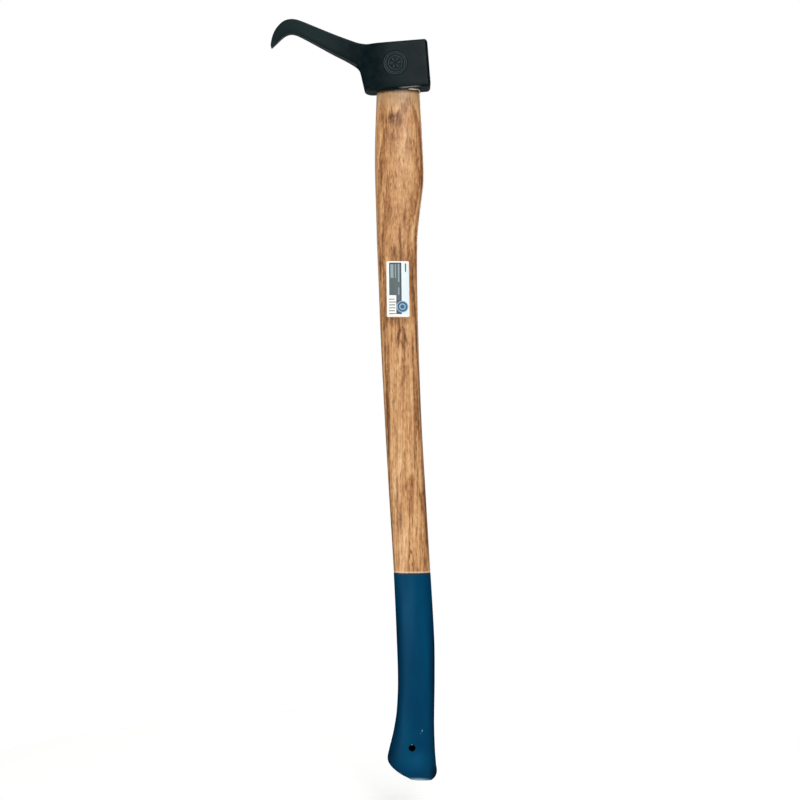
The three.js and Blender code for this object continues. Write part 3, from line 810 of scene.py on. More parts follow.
hickoryLook = {
    "ramp": [(0, "#eac69b"), (0.25, "#dcae7c"), (0.5, "#c4905f"), (0.75, "#98673f"), (1, "#633f22")],
    "treeAxis": (-6, 92, 0),  # mm from the handle's own axis to the middle of the tree
    "lean": (0.012, 0.02, 0),  # how much the tree leans across and away, per length
    "ringSpacing": 2.9,  # mm
    "ragged": 0.55,  # rings, how far fibres break up a ring's edge
    # noises: size per mm, detail, roughness
    "fibre": ((1.15, 1.15, 1 / 12), 3, 0.68),  # a bundle is drawn 0.9 mm wide, so that it shows
    "pore": ((2.3, 2.3, 1 / 7), 1, 0.5),
    "streak": ((0.42, 0.42, 1 / 75), 2, 0.5),
    "mottle": ((0.45, 0.45, 0.2), 1, 0.5),
    "driftSize": (1 / 36, 1 / 36, 1 / 125),  # of the slow wander of the rings
    "driftStart": (3.1, 0.4, 5.2),  # where in that noise the wood lies
    "drift": (2.5, 0.45),  # detail and roughness
    "driftReach": (9, 9, 0),  # mm that the rings wander
    # ranges: start, end and, where they aren't 0 and 1, the values there
    "steady": (-90, -45, 0.7),  # share of the wander in the lower handle
    "earlyRise": (0, 0.14),  # share of a ring
    "earlyFall": (0.9, 0.14),
    "toneDark": (0.36, 0.66, 0, 0.24),
    "streakBand": (0.4, 0.65),
    "streakDark": (-190, -270, 0.1, 0.34),
    "fibreDark": (0.3, 0.7, 0, 0.35),
    "poreBand": (0.6, 0.7),
    "rubbed": (-26, -4, 0, 0.45),
    "gloss": (0.3, 0.7, 0.36, 0.5),
    # other shares
    "earlyOwn": (0.85, 0.15),  # of its darkness a ring has by chance, and always
    "earlyDark": 0.38,
    "toneYears": 0.42,  # how fast heartwood tone changes, per ring
    "poreDark": (0.4, 0.08),  # in early wood on top, and everywhere
    "mottleDark": 0.5,
    "poreDepth": -0.6,
    "relief": (0.35, 0.12),  # strength and mm
    "greyNearHead": "#a68e6e",
    "calm": ((0, 0, -88), (90, 90, 60), 0.6, 0.29),  # centre, reach, share and tone of plainer wood
    # lines round the wood, each of them painted light: painted shade under the head, a painted highlight
    # above the coating's rim and a painted shadow of the coating's edge under that: height, reach, strength,
    # colour
    "lines": [
        # painted shade on the wood's top, under the head
        (2.2, 6.0, 0.85, "#2b2119"),
        # painted highlight just above the coating's rounded rim
        (-519.7, 1.1, 0.7, "#d3c4b0"),
        # painted shadow of the coating's edge on the wood
        (-521.7, 1.2, 1.0, "#16222a"),
    ],
    "lineFull": 0.5,  # share of a line's reach, to each side, where it is full
    "lineTeeth": 1.2,  # mm that fibres break up a line
    "archTeeth": 22,  # and an arch's edge
    "archEdge": -1.5,  # mm below its parabola where an arch is full
    "archFull": 0.6,  # share of its half width over which it is
    "archDeep": (2, -4),  # from the middle plane to the near side
    # arches where a ring runs out on the near side: top, bend per mm, fade, half width, strength
    "arches": [
        ((-7, 0, -17), 0.02, 12, 14, 0.17),
        ((3.5, 0, -243), 0.5, 9, 8, 0.3),
        ((2.5, 0, -259), 0.7, 7, 6, 0.24),
        ((15, 0, -405), 0.25, 14, 11, 0.22),
        ((14.5, 0, -485), 0.9, 6, 6.5, 0.42),
        ((15, 0, -497), 1.0, 5, 6, 0.4),
    ],
    # darker and, below zero, paler places, by their middle and reach in depth: middle across and up, reach
    # across and up, strength; the rows along the sides are painted shade and painted light, and one place
    # under the head is painted shade, as noted at them
    "patches": {
        (-13, 18): [
            (1.5, -24, 1.8, 6, 0.28), (4, -17.5, 1.8, 7, 0.28), (6, -10, 1.6, 7, 0.22),
            # in the next row, the wide place 8 mm down across the whole width is painted shade just under the
            # head
            (12, -20, 5, 17, -0.2), (0, -8, 34, 18, 0.16), (1, -27, 6, 8, 0.22),
            (-6, -28.5, 10, 5, 0.3), (-8, -58, 7, 20, 0.2), (5, -86, 5, 16, -0.18),
            (-16, -50, 2.2, 36, 0.3), (5.5, -67, 6, 34, -0.15), (12, -78, 7, 26, -0.25),
            (0, -112, 13, 26, -0.26), (0, -150, 18, 42, -0.2), (-7, -175, 3, 28, 0.2),
            (2.5, -172, 2.2, 22, 0.2), (8.5, -172, 2, 24, -0.22), (-6, -248, 12, 11, 0.3),
            (9, -249, 9, 10, 0.2), (-1, -262, 3, 9, -0.3), (7, -138, 2.6, 15, 0.4),
            (1.5, -158, 2.6, 16, 0.4), (-4, -175, 2.4, 13, 0.35), (0, -262, 3, 17, 0.32),
            (7.5, -268, 4, 18, 0.3), (1, -362, 7, 22, -0.2), (3.5, -462, 8, 30, 0.38),
            (13, -441, 11, 36, 0.34), (2, -405, 7, 26, -0.2), (0, -508, 6, 18, 0.2),
            (14, -510, 5, 14, -0.18), (22, -518, 3.5, 8, 0.25),
        ],
        (-12, 18): [
            (-15, -28, 5, 22, 0.25), (-15.5, -84, 3.5, 24, 0.26), (19, -60, 1.8, 44, 0.25),
            (13.5, -121, 2.6, 17, 0.18), (14.5, -155, 3.5, 42, -0.34), (-12.5, -180, 3, 24, -0.2),
            (-13.5, -285, 1.8, 36, 0.1), (-11.5, -345, 1.8, 32, 0.1), (16.3, -278, 2, 26, 0.3),
        ],
        # faint painted shade down the left side of the upper handle
        (-7, 18): [
            (-21, -60, 5, 90, 0.06),
        ],
        # painted shade down both sides, where they turn away from the near face
        (-11, 18): [
            (-18.5, -92, 2.4, 36, 0.3), (24, -98, 3.4, 30, 0.38), (-18, -187, 2.4, 24, 0.4),
            (25, -405, 4, 24, 0.22),
        ],
        # painted shade down the right side of the upper handle
        (-10, 18): [
            (24.5, -62, 4.5, 50, 0.32), (19, -180, 4, 50, 0.25),
        ],
        # painted light on the left side and painted shade down the right side of the lower handle
        (-9, 18): [
            (-14, -300, 5, 90, -0.2), (20.5, -345, 8, 75, 0.28), (30, -450, 7.5, 85, 0.5),
            (32, -500, 6, 45, 0.3),
        ],
        (-13, 14): [
            (-4.4, -366, 3.2, 11, 0.2),
        ],
        (-13, 16): [
            (-2.2, -444, 2, 13, 0.4), (11, -514, 1.5, 14, 0.35), (16.5, -512, 1.6, 18, 0.35),
        ],
    },
}


def arch(tree, place, fibre, top, bend, fade, reach):
    # 1 just below a parabola over the near side, falling to 0 above it at once and below it slowly
    s = hickoryLook
    off = addNode(tree, "VectorMath", (place, top), operation="SUBTRACT")
    across = addNode(tree, "SeparateXYZ", (off,), "X")
    squared = addNode(tree, "Math", (across, across), operation="MULTIPLY")
    under = addNode(tree, "SeparateXYZ", (off,), "Z")
    under = addNode(tree, "Math", (squared, bend, under), operation="MULTIPLY_ADD")
    under = addNode(tree, "Math", (fibre, s["archTeeth"], under), operation="MULTIPLY_ADD")
    inside = addNode(tree, "MapRange", (under, 0, s["archEdge"]), interpolation_type=smooth)
    slow = addNode(tree, "MapRange", (under, -fade, s["archEdge"]))
    wide = addNode(tree, "Math", (across,), operation="ABSOLUTE")
    wide = addNode(tree, "MapRange", (wide, reach, s["archFull"] * reach))
    front = addNode(tree, "SeparateXYZ", (place,), "Y")
    front = addNode(tree, "MapRange", (front, *s["archDeep"]))
    for share in (slow, wide, front):
        inside = addNode(tree, "Math", (inside, share), operation="MULTIPLY")
    return inside


def makeHickory():
    # sawn and sanded hickory under clear lacquer: long soft rings that arch on the flat side, short dark
    # pores in lines along the grain, darker heartwood streaks, a low even gloss; painted shade under the head
    # and down the sides, painted light on the lower left side, and a painted highlight and a painted shadow
    # above the coating
    s = hickoryLook
    material, tree = newMaterial("lacquered_hickory")
    place = inMillimetres(tree)
    height = addNode(tree, "SeparateXYZ", (place,), "Z")
    grains = []
    for name in ("fibre", "pore", "streak", "mottle"):
        size, detail, rough = s[name]
        at = addNode(tree, "VectorMath", (place, size), operation="MULTIPLY")
        grains.append(addNode(tree, "TexNoise", {
            "Vector": at, "Scale": 1, "Detail": detail, "Roughness": rough}))
    fibre, pore, streak, mottle = grains
    # the rings are read at a place that wanders slowly
    detail, rough = s["drift"]
    at = addNode(tree, "VectorMath", (place, s["driftSize"], s["driftStart"]), operation="MULTIPLY_ADD")
    wander = addNode(tree, "TexNoise", {
        "Vector": at, "Scale": 1, "Detail": detail, "Roughness": rough}, "Color")
    wander = addNode(tree, "VectorMath", (wander, [noiseMean] * 3), operation="SUBTRACT")
    steady = addNode(tree, "MapRange", (height, *s["steady"]))
    wander = addNode(tree, "VectorMath", {0: wander, "Scale": steady}, operation="SCALE")
    wander = addNode(tree, "VectorMath", (wander, s["driftReach"], place), operation="MULTIPLY_ADD")
    lean = addNode(tree, "VectorMath", {0: s["lean"], "Scale": height}, operation="SCALE")
    away = addNode(tree, "VectorMath", (wander, lean), operation="ADD")
    away = addNode(tree, "VectorMath", (away, s["treeAxis"]), operation="SUBTRACT")
    away = addNode(tree, "VectorMath", (away, (1, 1, 0)), operation="MULTIPLY")
    away = addNode(tree, "VectorMath", (away,), "Value", operation="LENGTH")
    count = addNode(tree, "Math", (away, s["ringSpacing"]), operation="DIVIDE")
    count = addNode(tree, "Math", (fibre, s["ragged"], count), operation="MULTIPLY_ADD")
    ring = addNode(tree, "Math", (count,), operation="FRACT")
    number = addNode(tree, "Math", (count,), operation="FLOOR")
    # early wood is dark with pores and the late wood after it pales slowly
    rise = addNode(tree, "MapRange", (ring, *s["earlyRise"]), interpolation_type=smooth)
    fall = addNode(tree, "MapRange", (ring, *s["earlyFall"]), interpolation_type=smooth)
    early = addNode(tree, "Math", (rise, fall), operation="MULTIPLY")
    own = addNode(tree, "TexWhiteNoise", {"W": number}, "Value", noise_dimensions="1D")
    own = addNode(tree, "Math", (own, *s["earlyOwn"]), operation="MULTIPLY_ADD")
    early = addNode(tree, "Math", (early, own), operation="MULTIPLY")
    dark = addNode(tree, "Math", (early, s["earlyDark"]), operation="MULTIPLY")
    # darker streaks, most of them in the lower handle
    streak = addNode(tree, "MapRange", (streak, *s["streakBand"]))
    lower = addNode(tree, "MapRange", (height, *s["streakDark"]))
    dark = addNode(tree, "Math", (streak, lower, dark), operation="MULTIPLY_ADD")
    # heartwood tone that changes over several rings
    years = addNode(tree, "Math", (count, s["toneYears"]), operation="MULTIPLY")
    tone = addNode(tree, "TexNoise", {"W": years, "Scale": 1, "Detail": 2, "Roughness": 0.6},
                   noise_dimensions="1D")
    tone = addNode(tree, "MapRange", (tone, *s["toneDark"]))
    dark = addNode(tree, "Math", (dark, tone), operation="ADD")
    # plainer wood, where only fibres and pores show
    centre, reach, share, plain = s["calm"]
    calm = addNode(tree, "Math", (patch(tree, place, centre, reach), share), operation="MULTIPLY")
    dark = addNode(tree, "Mix", {0: calm, 2: dark, 3: plain})
    fibreDark = addNode(tree, "MapRange", (fibre, *s["fibreDark"]))
    dark = addNode(tree, "Math", (dark, fibreDark), operation="ADD")
    pore = addNode(tree, "MapRange", (pore, *s["poreBand"]), interpolation_type=smooth)
    poreDark = addNode(tree, "Math", (early, *s["poreDark"]), operation="MULTIPLY_ADD")
    dark = addNode(tree, "Math", (pore, poreDark, dark), operation="MULTIPLY_ADD")
    for (depth, through), rows in s["patches"].items():
        for x, z, reachX, reachZ, strength in rows:
            inPatch = patch(tree, wander, (x, depth, z), (reachX, through, reachZ))
            dark = addNode(tree, "Math", (inPatch, strength, dark), operation="MULTIPLY_ADD")
    for *form, strength in s["arches"]:
        inArch = arch(tree, wander, fibre, *form)
        dark = addNode(tree, "Math", (inArch, strength, dark), operation="MULTIPLY_ADD")
    mottle = addNode(tree, "Math", (mottle, noiseMean), operation="SUBTRACT")
    dark = addNode(tree, "Math", (mottle, s["mottleDark"], dark), operation="MULTIPLY_ADD")
    colour = addNode(tree, "ValToRGB", (dark,), stops=s["ramp"])
    # just below the head the wood is rubbed grey
    rubbed = addNode(tree, "SeparateXYZ", (wander,), "Z")
    rubbed = addNode(tree, "MapRange", (rubbed, *s["rubbed"]), interpolation_type=smooth)
    colour = addNode(tree, "Mix", {0: rubbed, 6: colour, 7: linear(s["greyNearHead"])}, 2, data_type="RGBA")
    # painted shade under the head, a painted highlight above the dipped coating and a painted shadow of the
    # coating's edge under that
    level = addNode(tree, "Math", (fibre, s["lineTeeth"], height), operation="MULTIPLY_ADD")
    for middle, reach, strength, ink in s["lines"]:
        off = addNode(tree, "Math", (level, middle), operation="SUBTRACT")
        off = addNode(tree, "Math", (off,), operation="ABSOLUTE")
        paintedLightBand = addNode(tree, "MapRange", (off, reach, s["lineFull"] * reach, 0, strength))
        colour = addNode(tree, "Mix", {0: paintedLightBand, 6: colour, 7: linear(ink)}, 2, data_type="RGBA")
    gloss = addNode(tree, "MapRange", (fibre, *s["gloss"]))
    relief = addNode(tree, "Math", (pore, s["poreDepth"], fibre), operation="MULTIPLY_ADD")
    finishMaterial(tree, {
        "Base Color": colour, "Roughness": gloss, "IOR": 1.5, "Specular IOR Level": 0.2,
        "Coat Weight": 0.12, "Coat Roughness": 0.25, "Coat IOR": 1.45}, (*s["relief"], relief))
    return material


blackPaintLook = {
    "colour": "#051317",
    "worn": "#0d1b1e",
    "handled": "#192627",  # along the arm
    "arm": (-46, -76),  # where that starts and is full, along the head
    "peel": 1 / 0.9,  # 1/mm, the paint's orange peel, drawn a little coarse
    "scale": 1 / 7,  # forge scale under the paint
    "tint": (0.4, 0.7),
    "gloss": (0.3, 0.7, 0.28, 0.38),
    "peelShare": 0.12,
    "relief": (0.5, 0.25),  # strength and mm
    "specular": (0.055, 0.5, 0.85),  # level, and where its rim starts and ends to fade
    "rubbed": "#353f43",  # the ornament's tops
    "recessRim": (0.9, 1.1),  # mm inside the recess's radius
    "tops": (0.36, 0.24),  # mm below the cheek
    # painted highlight on the near cheek's lower edge: its colour, then its height, place and depth
    "bare": "#8c8c84",
    "highlightRise": 0.6,  # mm above the underside
    "highlightHeight": (0.75, 0.3),
    "highlightMiddle": 12.5,  # along the cheek, with its reach to both sides
    "highlightReach": (12.5, 7.5),
    "highlightDepth": 5,  # in from the cheek
    "highlightGaps": (0.35, 0.5),
}


def makeBlackPaint():
    # thin black enamel over forged steel: near black with a cold cast, satin, uneven where scale lies under
    # it, rubbed paler on the ornament's tops, with a painted highlight along the near cheek's lower edge at
    # the mouth
    s, h = blackPaintLook, headSizes
    material, tree = newMaterial("black_enamel_on_forged_steel")
    place = inMillimetres(tree)
    peel = addNode(tree, "TexNoise", {"Vector": place, "Scale": s["peel"], "Detail": 2})
    scale = addNode(tree, "TexNoise", {
        "Vector": place, "Scale": s["scale"], "Detail": 4, "Roughness": 0.55})
    # places square to the head
    cos, sin = math.cos(h["tilt"]), math.sin(h["tilt"])
    along = addNode(tree, "VectorMath", (place, (cos, 0, sin)), "Value", operation="DOT_PRODUCT")
    rise = addNode(tree, "VectorMath", (place, (-sin, 0, cos)), "Value", operation="DOT_PRODUCT")
    depth = addNode(tree, "SeparateXYZ", (place,), "Y")
    # the ornament's tops lie in the recess and near the crowned cheek
    off = addNode(tree, "CombineXYZ", {0: along, 2: rise})
    middle = (-h["recessForward"], 0, h["recessRise"])
    off = addNode(tree, "VectorMath", (off, middle), operation="SUBTRACT")
    off = addNode(tree, "VectorMath", (off,), "Value", operation="LENGTH")
    ornament = addNode(tree, "MapRange", (off, *(h["recess"] - rim for rim in s["recessRim"])))
    cheek = h["thickness"] / 2
    crownEnd = -h["crownFrom"] - h["crownMost"] * h["crownLength"]
    share = addNode(tree, "MapRange", (along, -h["crownFrom"], crownEnd, 0, h["crownMost"]))
    arc = addNode(tree, "Math", (share, share), operation="MULTIPLY")
    arc = addNode(tree, "Math", (arc, -h["crown"], cheek + h["crownLead"]), operation="MULTIPLY_ADD")
    arc = addNode(tree, "Math", (arc, cheek, h["crownBlend"]), operation="SMOOTH_MIN")
    below = addNode(tree, "Math", (depth, arc), operation="ADD")
    raised = addNode(tree, "MapRange", (below, *s["tops"]))
    near = addNode(tree, "Math", (depth, 0.0), operation="LESS_THAN")
    for part in (raised, near):
        ornament = addNode(tree, "Math", (ornament, part), operation="MULTIPLY")
    # painted highlight along the lower edge of the near cheek, a pale line where that rounded edge catches
    # the light, broken up by the orange peel
    bare = addNode(tree, "Math", (depth, s["highlightDepth"] - cheek), operation="LESS_THAN")
    for way, middle, reach in ((rise, "highlightRise", "highlightHeight"), (along, "highlightMiddle", "highlightReach")):
        off = addNode(tree, "Math", (way, s[middle]), operation="SUBTRACT")
        off = addNode(tree, "Math", (off,), operation="ABSOLUTE")
        share = addNode(tree, "MapRange", (off, *s[reach]))
        bare = addNode(tree, "Math", (bare, share), operation="MULTIPLY")
    highlightGapped = addNode(tree, "MapRange", (peel, *s["highlightGaps"]))
    bare = addNode(tree, "Math", (bare, highlightGapped), operation="MULTIPLY")
    tint = addNode(tree, "MapRange", (scale, *s["tint"]))
    onArm = addNode(tree, "MapRange", (along, *s["arm"]))
    colour = linear(s["colour"])
    # the last of these mixes lays on the painted highlight along the cheek's lower edge
    for share, ink in ((tint, "worn"), (onArm, "handled"), (ornament, "rubbed"), (bare, "bare")):
        colour = addNode(tree, "Mix", {0: share, 6: colour, 7: linear(s[ink])}, 2, data_type="RGBA")
    gloss = addNode(tree, "MapRange", (scale, *s["gloss"]))
    relief = addNode(tree, "Math", (peel, s["peelShare"], scale), operation="MULTIPLY_ADD")
    finishMaterial(tree, {
        "Base Color": colour, "Roughness": gloss, "IOR": 1.5,
        "Specular IOR Level": softRim(tree, *s["specular"])}, (*s["relief"], relief))
    return material


coatingLook = {
    "colour": "#003a5b",
    "thin": "#004464",
    "specular": (0.042, 0.1, 0.55),  # level, and where its rim starts and ends to fade
    "wave": 1 / 16,  # 1/mm, slow waves where the paint ran
    "drawn": (1, 1, 0.25),  # how far they are drawn out down the grip
    "grit": 1 / 1.4,
    "gritShare": 0.05,
    "relief": (0.3, 0.6),  # strength and mm
    "tint": (0.4, 0.7),
    # painted shade down both sides, painted highlights down the upper grip and along the knob's end edge,
    # painted light on the knob and a small pale speck above the hole: centre, reach, strength, colour
    "paintedLightAndSpeck": [
        # painted highlight: a soft lamp's reflection down the upper grip
        ((13, -13, -560), (9, 18, 70), 0.28, "#22587a"),
        # painted shade down the left and right sides and round the knob
        ((-2.5, -9, -620), (10, 18, 150), 0.9, "#001a2c"),
        ((-10, -9, -714), (9, 18, 40), 0.8, "#001a2c"),
        ((41, -9, -630), (10.5, 18, 180), 0.9, "#001a2c"),
        ((39, -9, -738), (8, 16, 14), 0.8, "#001422"),
        # painted light on the knob, for the white floor's reflection
        ((20, -13, -722), (18, 20, 18), 0.6, "#0b5479"),
        # a small pale speck above the hole
        ((25.8, -13, -690.6), (0.9, 5, 2.0), 0.9, "#8fbdd0"),
        ((24.2, -13, -693.5), (0.8, 5, 1.0), 0.6, "#5f97b0"),
        # painted highlight along the knob's end edge
        ((21, -6, -747.5), (19, 14, 7), 1.0, "#c4e2ee"),
    ],
}


def makeBlueCoating():
    # a thick dipped lacquer, deep blue with a low gloss, slow runs down the grip, a small pale speck above
    # the hole, painted shade down both sides, painted light on the knob and painted highlights down the upper
    # grip and along the knob's end edge
    s = coatingLook
    material, tree = newMaterial("dipped_blue_lacquer")
    place = inMillimetres(tree)
    drawn = addNode(tree, "VectorMath", (place, s["drawn"]), operation="MULTIPLY")
    wave = addNode(tree, "TexNoise", {"Vector": drawn, "Scale": s["wave"], "Detail": 2})
    grit = addNode(tree, "TexNoise", {"Vector": place, "Scale": s["grit"], "Detail": 1})
    tint = addNode(tree, "MapRange", (wave, *s["tint"]))
    colour = linear(s["colour"])
    colour = addNode(tree, "Mix", {0: tint, 6: colour, 7: linear(s["thin"])}, 2, data_type="RGBA")
    for centre, reach, strength, ink in s["paintedLightAndSpeck"]:
        inPaintedMark = addNode(tree, "Math", (patch(tree, place, centre, reach), strength), operation="MULTIPLY")
        colour = addNode(tree, "Mix", {0: inPaintedMark, 6: colour, 7: linear(ink)}, 2, data_type="RGBA")
    relief = addNode(tree, "Math", (grit, s["gritShare"], wave), operation="MULTIPLY_ADD")
    finishMaterial(tree, {
        "Base Color": colour, "Roughness": 0.42, "IOR": 1.5,
        "Specular IOR Level": softRim(tree, *s["specular"])}, (*s["relief"], relief))
    return material


# bare surfaces: a noise's size per mm and detail, its colours, the shader's values, and the
# relief's strength and mm
plainLooks = {
    # a fresh shaving: nearly white sapwood, dry, with fibres along it
    "fresh_cut_sapwood": (
        ((0.4, 2, 2), 2), [(0.35, "#f3e8d2"), (0.7, "#d9c39c")], {"Roughness": 0.7}, (0.4, 0.1)),
    # painted shade in the hanging hole: almost black, dull, with a coarse tooth
    "painted_shade_in_hanging_hole": (
        ([1.5] * 3, 2), [(0.3, "#02070b"), (0.75, "#071a28")],
        {"Roughness": 0.95, "Specular IOR Level": 0}, (0.5, 0.2)),
    # raw split beech: pale, dry, with fine flecks along the grain
    "raw_beech": (
        ((0.5, 2.2, 0.12), 3), [(0.35, "#d9bd92"), (0.7, "#b08a5c")], {"Roughness": 0.7}, (0.4, 0.1)),
}


def makePlain(name):
    # a bare surface whose colour and relief both follow one noise
    (size, detail), stops, values, relief = plainLooks[name]
    material, tree = newMaterial(name)
    at = addNode(tree, "VectorMath", (inMillimetres(tree), size), operation="MULTIPLY")
    fleck = addNode(tree, "TexNoise", {"Vector": at, "Scale": 1, "Detail": detail})
    colour = addNode(tree, "ValToRGB", (fleck,), stops=stops)
    finishMaterial(tree, {"Base Color": colour, **values}, (*relief, fleck))
    return material


steelLook = {
    "stain": 0.6,  # 1/mm
    "stops": [(0.35, "#b9bab6"), (0.75, "#85827b")],
    "gloss": (0, 1, 0.3, 0.55),
}


def makeSteel():
    # turned mild steel gone slightly dull
    s = steelLook
    material, tree = newMaterial("turned_mild_steel")
    dull = addNode(tree, "TexNoise", {"Vector": inMillimetres(tree), "Scale": s["stain"], "Detail": 4})
    colour = addNode(tree, "ValToRGB", (dull,), stops=s["stops"])
    gloss = addNode(tree, "MapRange", (dull, *s["gloss"]))
    finishMaterial(tree, {"Base Color": colour, "Metallic": 1, "Roughness": gloss})
    return material


labelLook = {
    "paper": "#fefbf4",
    "panel": "#536163",
    "dusk": "#3a4a5c",
    "ink": "#25323d",
    "tint": "#e4f1f3",
    "grey": "#93a6ac",
    "text": "#667680",
    "sky": "#93b6c8",
    "blue": "#215a80",
    # boxes on the sheet from left, bottom to right, top, as shares of it, each with its colour
    "boxes": [
        ((0.66, 0.03, 0.97, 0.975), "tint"),
        ((0.12, 0.05, 0.66, 0.975), "panel"),
        ((0.03, 0.05, 0.42, 0.39), "paper"),
        ((0.42, 0.05, 0.66, 0.30), "dusk"),
        ((0.12, 0.955, 0.66, 0.975), "ink"),
        ((0.12, 0.39, 0.14, 0.975), "ink"),
        ((0.18, 0.70, 0.31, 0.945), "grey"),
        ((0.38, 0.70, 0.42, 0.945), "grey"),
        ((0.51, 0.63, 0.57, 0.955), "grey"),
        ((0.51, 0.40, 0.56, 0.53), "grey"),
        ((0.61, 0.29, 0.66, 0.975), "ink"),
        ((0.82, 0.81, 0.87, 0.96), "ink"),
    ],
    "lines": (0.1, 0.41, 0.06, 0.32, 6),  # ruled lines: left, right, lowest, highest, count
    "lineHalf": 0.009,  # half their height
    "ragged": 0.03,  # by how much one ends before the next
    "seal": (0.69, 0.185, 0),  # middle of a plain ringed disc
    "rings": [(6.3, "sky"), (5.4, "blue"), (3.5, "sky"), (2.3, "blue")],  # radii in mm, outside first
    "tooth": 2.5,  # 1/mm, the paper's own
    "relief": (0.15, 0.05),  # strength and mm
}


def makeLabelPrint():
    # coated paper with a plain printed layout: flat inks, a slight sheen
    s = labelLook
    material, tree = newMaterial("printed_coated_paper")
    sheet = addNode(tree, "UVMap", uv_map="sheet")
    u = addNode(tree, "SeparateXYZ", (sheet,), "X")
    v = addNode(tree, "SeparateXYZ", (sheet,), "Y")
    colour = linear(s["paper"])
    boxes = list(s["boxes"])
    left, right, low, high, count = s["lines"]
    for line in np.linspace(low, high, count):
        end = right - s["ragged"] * (round(line * 100) % 3)
        boxes.append(((left, line - s["lineHalf"], end, line + s["lineHalf"]), "text"))
    for (x0, y0, x1, y1), ink in boxes:
        across = addNode(tree, "Math", (u, (x0 + x1) / 2, (x1 - x0) / 2), operation="COMPARE")
        upwards = addNode(tree, "Math", (v, (y0 + y1) / 2, (y1 - y0) / 2), operation="COMPARE")
        inside = addNode(tree, "Math", (across, upwards), operation="MULTIPLY")
        colour = addNode(tree, "Mix", {0: inside, 6: colour, 7: linear(s[ink])}, 2, data_type="RGBA")
    away = addNode(tree, "VectorMath", (sheet, s["seal"]), operation="SUBTRACT")
    span = (labelSizes["width"], labelSizes["height"], 0)
    away = addNode(tree, "VectorMath", (away, span), operation="MULTIPLY")
    away = addNode(tree, "VectorMath", (away,), "Value", operation="LENGTH")
    for radius, ink in s["rings"]:
        inside = addNode(tree, "Math", (away, radius), operation="LESS_THAN")
        colour = addNode(tree, "Mix", {0: inside, 6: colour, 7: linear(s[ink])}, 2, data_type="RGBA")
    tooth = addNode(tree, "TexNoise", {"Vector": inMillimetres(tree), "Scale": s["tooth"], "Detail": 2})
    finishMaterial(tree, {"Base Color": colour, "Roughness": 0.45}, (*s["relief"], tooth))
    return material


# The object

dress(makeHead(), makeBlackPaint(), "forged_head", "hook_head")
print("head made")
dress(makeHandle(), makeHickory(), "handle_wood", "handle")
dress(makeShaving(), makePlain("fresh_cut_sapwood"), "handle_wood")
dress(makeEyeWedge(), makePlain("raw_beech"), "wedge_wood", "eye_wedge")
dress(makeRingWedge(), makeSteel(), "wedge_steel", "ring_wedge")
print("handle and wedges made")
dress(makeCoating(), makeBlueCoating(), "grip_coat", "grip_coating")
dress(makeHoleShadeSheet(), makePlain("painted_shade_in_hanging_hole"), "grip_coat")
dress(makeLabel(), makeLabelPrint(), "label_paper", "paper_label")
print("coating and label made")


# The studio

studio = {
    "floorDrop": 806,  # mm from the head's underside
    "floorReach": 650,  # its radius
    "floorSteps": 96,
    "floor": "#f4f4f2",
    "floorGlow": 0.3,
    "air": 0.29,  # even light from all round
    # the part of the white backdrop that a gloss mirrors, in directions across, away and up
    "mirrorAcross": (0.45, 0.3),
    "mirrorAway": (0, 0.2),
    "mirrorUp": (-0.15, 0),
    "camera": (2.0, -1600, -334.9),
    "frame": 868,  # mm that the picture spans at the object
    "sensor": 36,
    # soft boxes: place and aim in metres, side in metres, watts
    "lamps": {
        "key_box": ((0.3, -2.1, 0.8), (0, 0, -0.3), 0.9, 31),
        "left_box": ((-1.1, -1.9, -1.0), (0, 0, -0.6), 0.7, 14),
        "top_box": ((0.2, -0.2, 1.7), (0, 0, -0.3), 1.2, 14),
        "back_box": ((0.9, 1.8, 0.4), (0, 0, -0.3), 1.2, 16),
    },
}


def lookedAt(tree, mirrored):
    # 1 for the eye's rays, also through glass or, by a share, off a gloss, and 0 for light
    glossy = addNode(tree, "LightPath", output="Is Glossy Ray")
    seen = addNode(tree, "Math", (glossy, mirrored), operation="MULTIPLY")
    for ray in ("Is Camera Ray", "Is Transmission Ray"):
        straight = addNode(tree, "LightPath", output=ray)
        seen = addNode(tree, "Math", (seen, straight), operation="MAXIMUM")
    return seen


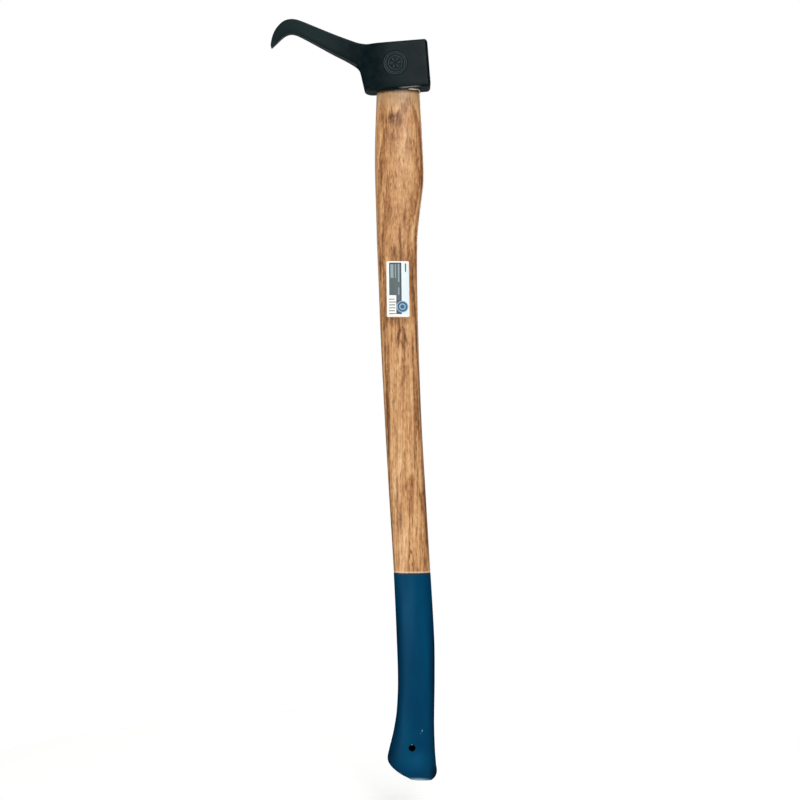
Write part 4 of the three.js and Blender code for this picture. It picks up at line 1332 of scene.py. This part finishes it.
def makeFloor():
    # a disc that shows white to the eye and still takes the object's shadow
    s = studio
    steps = s["floorSteps"]
    angle = roundAngles(steps)
    level = np.full(steps, -float(s["floorDrop"]))
    rim = np.stack([s["floorReach"] * np.cos(angle), s["floorReach"] * np.sin(angle), level], -1)
    around = np.arange(steps)
    fan = np.stack([np.full(steps, steps), around, (around + 1) % steps], -1)
    places = np.vstack([rim, [[0, 0, -s["floorDrop"]]]])
    floor = meshPiece("studio_floor", places, np.zeros((0, 4), int), fan)
    material, tree = newMaterial("white_studio_floor")
    glow = addNode(tree, "Math", (lookedAt(tree, 1), s["floorGlow"]), operation="MULTIPLY")
    finishMaterial(tree, {
        "Base Color": linear(s["floor"]), "Roughness": 0.9, "Specular IOR Level": 0,
        "Emission Color": (1, 1, 1, 1), "Emission Strength": glow})
    floor.data.materials.append(material)


def makeWorld():
    # even light all round, and a white backdrop for the eye and for what mirrors it
    s = studio
    world = bpy.data.worlds.new("studio_air")
    world.use_nodes = True
    tree = world.node_tree
    tree.nodes.clear()
    direction = addNode(tree, "TexCoord", output="Generated")
    across = addNode(tree, "SeparateXYZ", (direction,), "X")
    across = addNode(tree, "Math", (across,), operation="ABSOLUTE")
    away = addNode(tree, "SeparateXYZ", (direction,), "Y")
    upwards = addNode(tree, "SeparateXYZ", (direction,), "Z")
    behind = 1
    for place, band in ((across, "mirrorAcross"), (away, "mirrorAway"), (upwards, "mirrorUp")):
        inside = addNode(tree, "MapRange", (place, *s[band]))
        behind = addNode(tree, "Math", (inside, behind), operation="MULTIPLY")
    strength = addNode(tree, "MapRange", (lookedAt(tree, behind), 0, 1, s["air"], 1))
    shader = addNode(tree, "Background", {"Color": (1, 1, 1, 1), "Strength": strength})
    addNode(tree, "OutputWorld", {"Surface": shader})
    bpy.context.scene.world = world


def addLamp(name, place, aim, size, power):
    # a square soft box that lights the object and stays out of sight
    light = bpy.data.lights.new(name, "AREA")
    light.shape = "SQUARE"
    light.size = size
    light.energy = power
    lamp = bpy.data.objects.new(name, light)
    lamp.location = place
    away = np.array(place) - np.array(aim)
    flat = math.hypot(away[0], away[1])
    lamp.rotation_euler = (math.atan2(flat, away[2]), 0, math.atan2(away[1], away[0]) + math.pi / 2)
    lamp.visible_camera = False
    bpy.context.scene.collection.objects.link(lamp)


makeFloor()
makeWorld()
for name, form in studio["lamps"].items():
    addLamp(name, *form)

camera = bpy.data.objects.new("photo_camera", bpy.data.cameras.new("photo_camera"))
camera.location = [place * mm for place in studio["camera"]]
camera.rotation_euler = (math.pi / 2, 0, 0)
camera.data.sensor_width = studio["sensor"]
camera.data.lens = -studio["sensor"] * studio["camera"][1] / studio["frame"]
bpy.context.scene.collection.objects.link(camera)
bpy.context.scene.camera = camera
bpy.context.scene.view_settings.view_transform = "Standard"
print("studio made")
